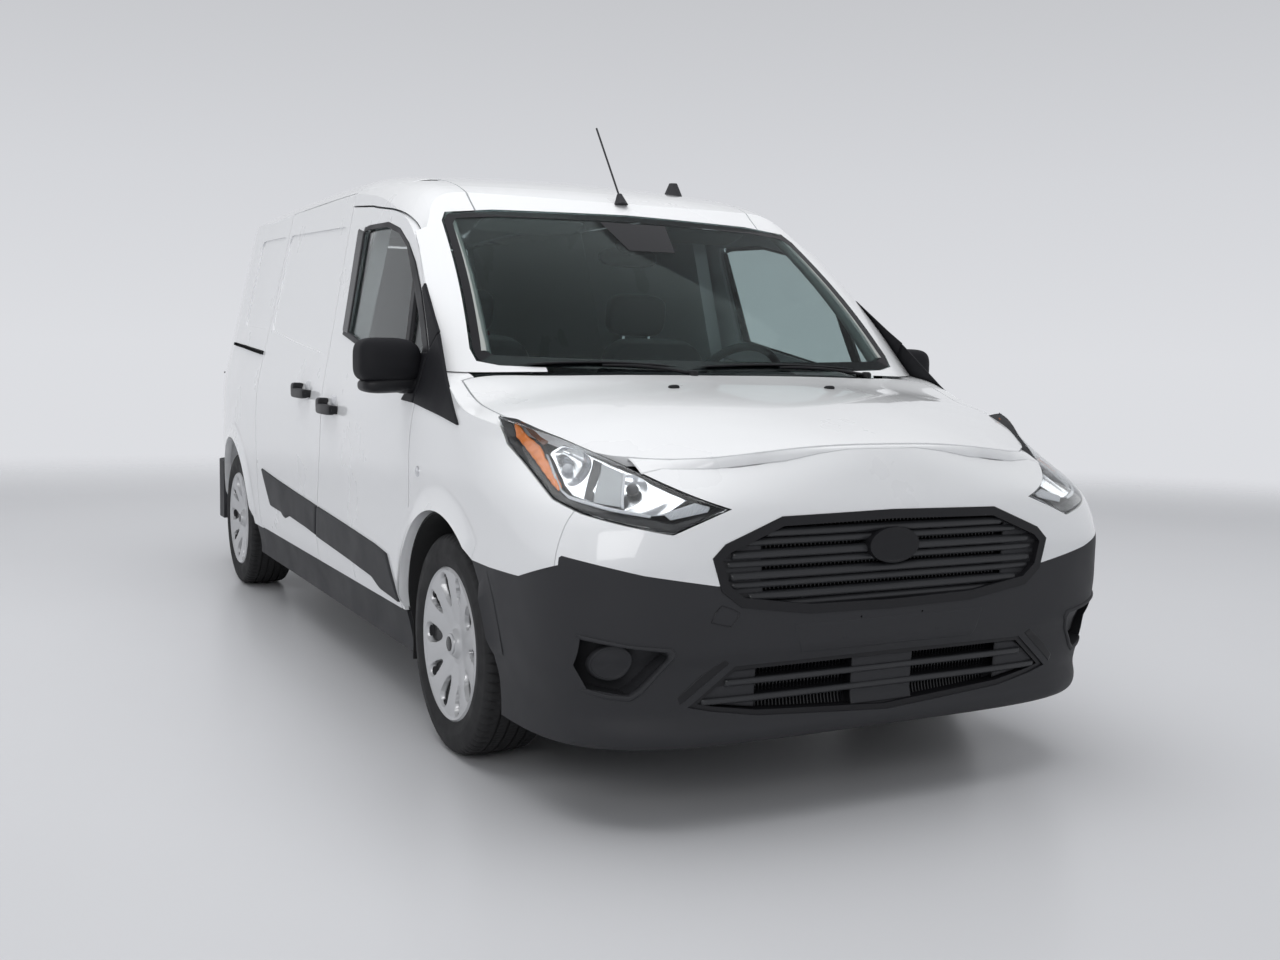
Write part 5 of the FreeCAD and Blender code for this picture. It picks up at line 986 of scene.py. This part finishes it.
badge = np.stack([pad_x, front_face(pad_x, pad_z) - 5.0 + 2 * t ** 2 - rise + 10 * (t > 0.999), pad_z], -1)
weld(grid_piece("grille_bare_pad", badge, gloss_black, "body", wrap_u=True,
                outward=(0, -1, 0)))

BEZEL = [(848, 503), (740, 482), (634, 470), (622, 452), (650, 408), (692, 352), (716, 333), (770, 338),
         (822, 354)]
BEZEL_IN = [(830, 486), (736, 470), (648, 458), (642, 446), (664, 412), (700, 368), (720, 352), (766, 354),
            (806, 364)]


def fog_bezel(side_name, s):
    """C-shaped rim round the fog recess: between an outer and an inner line the skin bulges by 7 sin(pi
    v)."""
    u, v = np.linspace(0, 1, 80), np.linspace(0, 1, 12)
    outer, inner = along(BEZEL, u), along(BEZEL_IN, u)
    plan = outer[:, None] * (1 - v)[None, :, None] + inner[:, None] * v[None, :, None]
    bulge = 7 * np.sin(np.pi * v) ** 0.6 * rim_profile(u, 0.03)[:, None]
    y = front_face(plan[..., 0], plan[..., 1]) - bulge + 1.5 + 18 * np.clip(v - 0.8, 0, 1)[None,
                                                                                           :] / 0.2 * 0.5
    grid = np.stack([s * plan[..., 0], y, plan[..., 1]], -1)
    grid_piece("fog_bezel_" + side_name, grid, grained_plastic, "body", outward=(0, -1, 0), wall=3,
               angle=50)
    a = np.linspace(0, 2 * np.pi, 56, endpoint=False)[:, None]
    r = np.array([[0.3, 20, 36, 39, 41, 44, 46, 47]])
    lift = np.array([[10, 10, 10, 10.5, 13, 13, 11, 0]])
    x, z = 752 + r * np.cos(a), 424 + r * np.sin(a)
    disc = np.stack([s * x, front_face(x, z) + 52 - lift, z], -1)
    weld(grid_piece("fog_blank_" + side_name, disc, grained_plastic, "body", wrap_u=True,
                    outward=(0, -1, 0)))


sides(fog_bezel)
mirrored_pair("bumper_slant_face", [(474, 420), (560, 352), (600, 320)],
              [(490, 432), (552, 392), (608, 340)], 1.5, satin_black, "trim", edge=(0.06, 0.1),
              count=(24, 10))
tow = [(-538, 527), (-510, 520), (-485, 514), (-470, 528), (-461, 546), (-484, 558), (-510, 567),
       (-528, 550)]
ring = along(tow + tow[:1], np.linspace(0, 1, 72, endpoint=False))
ring_y = front_face(ring[:, 0], ring[:, 1]) - 0.3
tube("tow_eye_cover", np.stack([ring[:, 0], ring_y, ring[:, 1]], -1), 1.1, gloss_black, "body",
     closed=True, sides_count=8)
field = [(-307, 508), (-276, 429), (0, 428), (276, 429), (307, 508)]
front_piece("plate_field", [(-276, 430), (276, 430)], [(-306, 507), (306, 507)], 1.4, grained_plastic,
            "trim", edge=(0.01, 0.05), count=(60, 12))
for number, (x, z) in enumerate(((-148, 462), (148, 462))):
    a = np.linspace(0, 2 * np.pi, 24, endpoint=False)[:, None]
    r = np.array([[0.2, 1.5, 3, 4.5, 5.2, 6.4]])
    sink = np.array([[2.2, 2.2, 1.8, 0.2, -0.7, 0.2]])
    px, pz = x + r * np.cos(a), z + r * np.sin(a)
    weld(grid_piece("plate_dimple_%d" % number, np.stack([px, front_face(px, pz) - 1.2 + sink, pz], -1),
                    grained_plastic, "body", wrap_u=True, outward=(0, -1, 0)))


# Glass, cab

def screen_grid(low, high, u, v, push):
    """Points between two (x, z) lines laid on the windscreen and moved by push(u, v) along Y."""
    a, b = along(low, u), along(high, u)
    plan = a[:, None] * (1 - v)[None, :, None] + b[:, None] * v[None, :, None]
    y = screen_front(plan[..., 0], plan[..., 1]) + push(u[:, None] + 0 * v[None, :],
                                                        v[None, :] + 0 * u[:, None])
    return np.stack([plan[..., 0], y, plan[..., 1]], -1)


SCREEN_LOOP = [(0, 1116), (400, 1118), (700, 1126), (757, 1138), (762, 1172), (684, 1588), (662, 1617),
               (500, 1634), (0, 1644)]
SCREEN_IN = [(0, 1146), (400, 1147), (706, 1154), (730, 1166), (734, 1190), (661, 1578), (642, 1600),
             (500, 1614), (0, 1623)]
loop = SCREEN_LOOP + [(-x, z) for x, z in SCREEN_LOOP[-2:0:-1]]
inner = SCREEN_IN + [(-x, z) for x, z in SCREEN_IN[-2:0:-1]]
t = np.linspace(0, 1, 240, endpoint=False)
outer_ring, inner_ring = along(loop + loop[:1], t), along(inner + inner[:1], t)
v = np.linspace(0, 1, 6)
plan = outer_ring[:, None] * (1 - v)[None, :, None] + inner_ring[:, None] * v[None, :, None]
frit = np.stack([plan[..., 0], screen_front(plan[..., 0], plan[..., 1]) - 0.5, plan[..., 1]], -1)
grid_piece("windscreen_frit", frit, gloss_black, "body", wrap_u=True, outward=(0, -1, 0.3))
grid_piece("windscreen_sensor_band", screen_grid([(-88, 1512), (88, 1512)], [(-128, 1616), (128, 1616)],
                                                pad_steps(20, 0.04), pad_steps(10, 0.05), lambda a,
                                                b: -0.5),
           gloss_black, "body", outward=(0, -1, 0.3))
pillow("sensor_housing", (0, -905, 1556), (62, 40, 40), satin_black, "body",
       power=(0.5, 0.6), turn=(-42, 0, 0), counts=(40, 24))
pillow("inner_mirror", (0, -862, 1500), (112, 16, 34), satin_black, "body", power=(0.4, 0.7),
       turn=(6, 0, 0), counts=(56, 28))
tube("inner_mirror_stem", [(0, -905, 1545), (0, -890, 1528), (0, -876, 1510)], 7, satin_black,
     "body")


def pillar_trim(side_name, s):
    """Pale inner trim of the windscreen pillar: a half-round bar behind the screen's edge, swelling to
    its foot."""
    z = np.linspace(1150, 1615, 40)
    t = (z - 1150) / 465.0
    x = 728 - 74 * t - 6 * t ** 2
    y = screen_front(x, z) + 34
    path = np.stack([s * x, y, z], -1)
    return tube("pillar_trim_" + side_name, path, 26 - 8 * t, pillar_grey, "body", sides_count=16)


sides(pillar_trim)


def visor(side_name, s):
    """Sun visor hung under the roof's front rail."""
    return pillow("sun_visor_" + side_name, (s * 330, -748, 1600), (190, 70, 9), pillar_grey,
                  "body", power=(0.35, 0.5), turn=(-14, 0, 0), counts=(48, 20))


sides(visor)

# wipers and washers
for name, x0, x1, lift in (("wiper_long", 560, -80, 0.0), ("wiper_short", -140, -640, 0.0)):
    t = np.linspace(0, 1, 48)
    x = x0 + (x1 - x0) * t
    z = 1128 + 10 * np.sin(np.pi * t) + 0 * x
    y = screen_front(x, z) - 9
    tube(name + "_blade", np.stack([x, y, z], -1), np.clip(np.minimum(t, 1 - t) * 60, 1.5, 6.5),
         satin_black, "body", sides_count=12, flat=0.55)
    t = np.linspace(0, 1, 24)
    ax = x0 + 40 + (0.5 * (x0 + x1) - x0 - 40) * t
    az = 1108 + 22 * t + 8 * np.sin(np.pi * t)
    ay = screen_front(ax, az) - 15 - 8 * np.sin(np.pi * t)
    tube(name + "_arm", np.stack([ax, ay, az], -1), 8 - 3 * t, satin_black, "body", sides_count=12,
         flat=0.7)
    pillow(name + "_pivot", (x0 + 40, float(screen_front(x0 + 40, 1108)) - 18, 1106), (17, 17, 13),
           satin_black, "body", power=(0.9, 0.7), counts=(28, 16))
for number, x in enumerate((-275, 275)):
    z = float(hood_height(np.array(x), np.array(-1720)))
    pillow("washer_nozzle_%d" % number, (x, -1718, z + 2.0), (17, 12, 7), satin_black, "hood",
           power=(0.7, 0.8), turn=(-6, 0, 0), counts=(28, 16))


def seat(side_name, s):
    """Padded seat: cushion, backrest with side bolsters and a headrest on two posts. The pads are
    superellipsoids whose faces swell by 1 - (x/a)^2 and dip by cos(k x) along the stitched panels."""
    x0 = s * 380

    def panels(p):
        p = p.copy()
        p[..., 2] = p[..., 2] + 7 * np.cos(p[..., 0] / 235 * np.pi * 2.5) * (p[..., 2] > 30)
        p[..., 2] += 16 * (np.abs(p[..., 0]) / 230) ** 4 * (p[..., 2] > 20)
        return p

    def back_panels(p):
        p = p.copy()
        front = p[..., 1] < -20
        p[..., 1] = p[..., 1] - 20 * (np.abs(p[..., 0]) / 225) ** 4 * front
        p[..., 1] += 5 * np.cos(p[..., 2] / 290 * np.pi * 4) * front
        p[..., 0] *= 1 - 0.13 * np.clip(p[..., 2] / 300, 0, 1) ** 2
        return p

    low = pillow("seat_cushion_" + side_name, (x0, -575, 655), (240, 262, 72), seat_cloth, "body",
                 power=(0.3, 0.55), turn=(7, 0, 0), counts=(80, 48), shape=panels)
    rest = pillow("seat_back_" + side_name, (x0, -285, 925), (232, 66, 300), seat_cloth, "body",
                  power=(0.45, 0.3), turn=(16, 0, 0), counts=(72, 64), shape=back_panels)
    head = pillow("seat_headrest_" + side_name, (x0, -198, 1318), (128, 44, 84), seat_cloth, "body",
                  power=(0.45, 0.5), turn=(10, 0, 0), counts=(56, 36))
    for k, dx in enumerate((-58, 58)):
        tube("seat_post_%d_%s" % (k, side_name), [(x0 + dx, -205, 1180), (x0 + dx, -202, 1240),
                                                  (x0 + dx, -200, 1262)],
             6.5, chrome, "body", sides_count=14)
    pillow("seat_base_" + side_name, (x0, -545, 500), (196, 222, 92), dash_plastic, "body",
           power=(0.2, 0.25), counts=(48, 24))
    return low


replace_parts(seat("left", 1), "seats")
seat("right", -1)

# steering wheel rim and hub over the driver's column
hub, tilt = np.array([380.0, -995.0, 1030.0]), math.radians(26)
axis = np.array([0, math.cos(tilt), math.sin(tilt)])
side_dir = np.array([1.0, 0, 0])
up_dir = np.cross(axis, side_dir)
a = np.linspace(0, 2 * np.pi, 120, endpoint=False)
ring = hub + 184 * (np.cos(a)[:, None] * side_dir + np.sin(a)[:, None] * up_dir)
wheel_rim = tube("steering_wheel_rim", ring, 14.5 + 0.8 * np.cos(3 * a), dash_plastic, "body",
                 closed=True, sides_count=20)
pillow("steering_wheel_pad", tuple(hub + axis * 4), (64, 26, 56), dash_plastic, "body",
       power=(0.6, 0.6), turn=(math.degrees(tilt), 0, 0), counts=(48, 28))
for number, angle in enumerate((8, 172, 270)):
    c, d = math.cos(math.radians(angle)), math.sin(math.radians(angle)) * -1
    out = c * side_dir + d * up_dir
    t = np.linspace(0.24, 0.98, 16)
    path = hub + (184 * t)[:, None] * out + (6 * np.sin(np.pi * t))[:, None] * axis
    tube("steering_wheel_spoke_%d" % number, path, 17 - 6 * t, dash_plastic, "body", sides_count=14,
         flat=0.6)
tube("steering_column", [hub - axis * s_ for s_ in (10, 60, 120, 170)], [30, 34, 40, 46], dash_plastic,
     "body", sides_count=20)
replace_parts(wheel_rim, "steering_wheel")

# instrument hood and vents on the dashboard
pillow("instrument_hood", (380, -1110, 1078), (170, 86, 42), dash_plastic, "body", power=(0.5, 0.7),
       counts=(56, 28))
for number, x in enumerate((-640, -90, 90, 660)):
    pillow("dash_vent_%d" % number, (x, -1088, 1000), (62, 12, 30), satin_black, "body",
           power=(0.5, 0.6), counts=(40, 20))

# Tail

def tail_grid(low, high, u, v, push):
    """Points between two (x, z) lines on the rear face, moved out by push(u, v)."""
    a, b = along(low, u), along(high, u)
    plan = a[:, None] * (1 - v)[None, :, None] + b[:, None] * v[None, :, None]
    y = rear_face(plan[..., 0], plan[..., 1]) + push(u[:, None] + 0 * v[None, :],
                                                     v[None, :] + 0 * u[:, None])
    return np.stack([plan[..., 0], y, plan[..., 1]], -1)


def tail_pad(name, low, high, rise, finish_used, body, edge=(0.05, 0.05), count=(30, 20), back=0.0):
    def push(a, b):
        lift = rim_profile(a, edge[0]) * rim_profile(b, edge[1])
        return rise * lift - 2 * (1 - lift) - back
    grid = tail_grid(low, high, pad_steps(count[0], edge[0]), pad_steps(count[1], edge[1]), push)
    return grid_piece(name, grid, finish_used, body, outward=(0, 1, 0), angle=50)


def rear_details(side_name, s):
    body = "rear_door_" + side_name
    tail_pad("rear_window_panel_" + side_name, [(s * 84, 1184), (s * 586, 1184)],
             [(s * 84, 1626), (s * 548, 1608)], 1.5, white_paint, body, back=4.5,
             edge=(0.03, 0.03))
    tail_pad("rear_plate_panel_" + side_name, [(s * 84, 806), (s * 500, 806)],
             [(s * 84, 1010), (s * 470, 1010)], 2.0, white_paint, body, edge=(0.03, 0.05))
    for z in (700, 1380):
        tail_pad("rear_hinge_cover_%d_%s" % (z, side_name), [(s * 602, z + 18), (s * 676, z + 18)],
                 [(s * 602, z + 44), (s * 676, z + 44)], 6, satin_black, body, edge=(0.12, 0.3),
                 count=(16, 10))
    tail_pad("tail_lamp_strip_" + side_name, [(s * 700, 1012), (s * 800, 1012)],
             [(s * 700, 1020), (s * 800, 1020)], 4, lamp_grey, "body", edge=(0.06, 0.3),
             count=(20, 6))


sides(rear_details)
tail_pad("rear_door_handle", [(20, 925), (150, 925)], [(20, 985), (150, 985)], 9, satin_black,
         "rear_door_left", edge=(0.2, 0.3), count=(24, 14))
tail_pad("rear_plate_blank", [(-262, 618), (-14, 618)], [(-262, 728), (-14, 728)], 3, lamp_grey,
         "rear_door_right", edge=(0.02, 0.04), count=(40, 20))
tail_pad("high_brake_lamp", [(-120, 1742), (120, 1742)], [(-112, 1764), (112, 1764)], 2, red_lens,
         "body", edge=(0.05, 0.3), count=(30, 8))


# Camera, light, floor

def make_camera():
    """Camera from its azimuth, elevation and roll, at the photograph's own place."""
    a, e, r = math.radians(-27.60), math.radians(5.52), math.radians(1.097)
    back = np.array([math.sin(a) * math.cos(e), -math.cos(a) * math.cos(e), math.sin(e)])
    right = np.cross([0, 0, 1], back)
    right /= np.linalg.norm(right)
    up = np.cross(back, right)
    right, up = math.cos(r) * right + math.sin(r) * up, -math.sin(r) * right + math.cos(r) * up
    camera = bpy.data.cameras.new("camera")
    camera.sensor_width = 36.0
    camera.lens = 36.0 * 1337.7 / 1280.0
    camera.clip_end = 200.0
    place = bpy.data.objects.new("camera", camera)
    place.matrix_world = Matrix([(right[k], up[k], back[k], c) for k,
                                 c in enumerate((-2.1637, -5.1293, 1.1753))]
                                + [(0, 0, 0, 1)])
    bpy.context.scene.collection.objects.link(place)
    bpy.context.scene.camera = place


def soft_light(name, place, target, size, power, shines=False):
    light = bpy.data.lights.new(name, "AREA")
    light.shape = "RECTANGLE"
    light.size, light.size_y = size
    light.energy = power
    lamp = bpy.data.objects.new(name, light)
    lamp.location = place
    lamp.rotation_euler = (Vector(target) - Vector(place)).to_track_quat("-Z", "Y").to_euler()
    lamp.visible_glossy = shines
    bpy.context.scene.collection.objects.link(lamp)


def studio_floor():
    """Floor disc round the camera's foot; its point attribute "shown" falls from 1 to 0 by a smoothstep
    between 10.5 and 15 m, so that its far edge melts into the backdrop."""
    r = np.concatenate([np.linspace(0.01, 9, 40), np.linspace(9.2, 16, 60)])[None, :]
    a = np.linspace(0, 2 * np.pi, 120, endpoint=False)[:, None]
    grid = np.stack([-2.16 + r * np.cos(a), -5.13 + r * np.sin(a), 0 * r * a], -1)
    mesh = bpy.data.meshes.new("floor")
    mesh.from_pydata(grid.reshape(-1, 3).tolist(), [], grid_faces(120, 100, wrap_u=True).tolist())
    mesh.shade_smooth()
    t = np.clip((r + 0 * a - 10.5) / 4.5, 0, 1)
    shown = mesh.attributes.new("shown", "FLOAT", "POINT")
    shown.data.foreach_set("value", (1 - t * t * (3 - 2 * t)).reshape(-1))
    sheet = bpy.data.objects.new("floor", mesh)
    bpy.context.scene.collection.objects.link(sheet)
    material = finish("floor", (0.60, 0.605, 0.625), 0.3, grain=(60, 0.0008, 0.1), shade=0.02,
                      shade_scale=0.8)
    tree = material.node_tree
    fade = tree.nodes.new("ShaderNodeAttribute")
    fade.attribute_name = "shown"
    tree.links.new(fade.outputs["Fac"], tree.nodes["Principled BSDF"].inputs["Alpha"])
    mesh.materials.append(material)


make_camera()
scene = bpy.context.scene
scene.view_settings.view_transform = "Standard"

studio_floor()

world = bpy.data.worlds.new("studio")
scene.world = world
world.use_nodes = True
tree = world.node_tree
background = tree.nodes["Background"]
background.inputs["Color"].default_value = (0.80, 0.82, 0.85, 1)
background.inputs["Strength"].default_value = 0.42
seen = tree.nodes.new("ShaderNodeBackground")
seen.inputs["Strength"].default_value = 1.0
coord = tree.nodes.new("ShaderNodeTexCoord")
split = tree.nodes.new("ShaderNodeSeparateXYZ")
tree.links.new(coord.outputs["Generated"], split.inputs[0])
ramp = tree.nodes.new("ShaderNodeValToRGB")
ramp.color_ramp.elements[0].position = 0.0
ramp.color_ramp.elements[0].color = (0.72, 0.73, 0.76, 1)
ramp.color_ramp.elements[1].position = 0.45
ramp.color_ramp.elements[1].color = (0.42, 0.425, 0.44, 1)
middle = ramp.color_ramp.elements.new(0.12)
middle.color = (0.66, 0.67, 0.70, 1)
tree.links.new(split.outputs["Z"], ramp.inputs["Fac"])
tree.links.new(ramp.outputs["Color"], seen.inputs["Color"])
path = tree.nodes.new("ShaderNodeLightPath")
glossy = tree.nodes.new("ShaderNodeMath")
glossy.operation = "MAXIMUM"
tree.links.new(path.outputs["Is Camera Ray"], glossy.inputs[0])
tree.links.new(path.outputs["Is Glossy Ray"], glossy.inputs[1])
either = tree.nodes.new("ShaderNodeMath")
either.operation = "MAXIMUM"
tree.links.new(glossy.outputs[0], either.inputs[0])
tree.links.new(path.outputs["Is Transmission Ray"], either.inputs[1])
mix = tree.nodes.new("ShaderNodeMixShader")
tree.links.new(either.outputs[0], mix.inputs["Fac"])
tree.links.new(background.outputs[0], mix.inputs[1])
tree.links.new(seen.outputs[0], mix.inputs[2])
tree.links.new(mix.outputs[0], tree.nodes["World Output"].inputs["Surface"])

soft_light("overhead", (-0.5, -0.5, 6.5), (0, 0, 0), (8.0, 7.0), 400)
soft_light("front_key", (-4.5, -8.0, 4.2), (0, -1.5, 0.8), (5.0, 3.0), 130, shines=True)
soft_light("side_fill", (-8.0, 0.5, 3.2), (0, 0, 1.0), (6.0, 3.0), 60)
soft_light("far_side", (8.0, -2.0, 3.5), (0, 0, 1.0), (6.0, 3.0), 80)
soft_light("tail", (0.0, 9.0, 4.0), (0, 1.0, 0.8), (6.0, 3.0), 80)
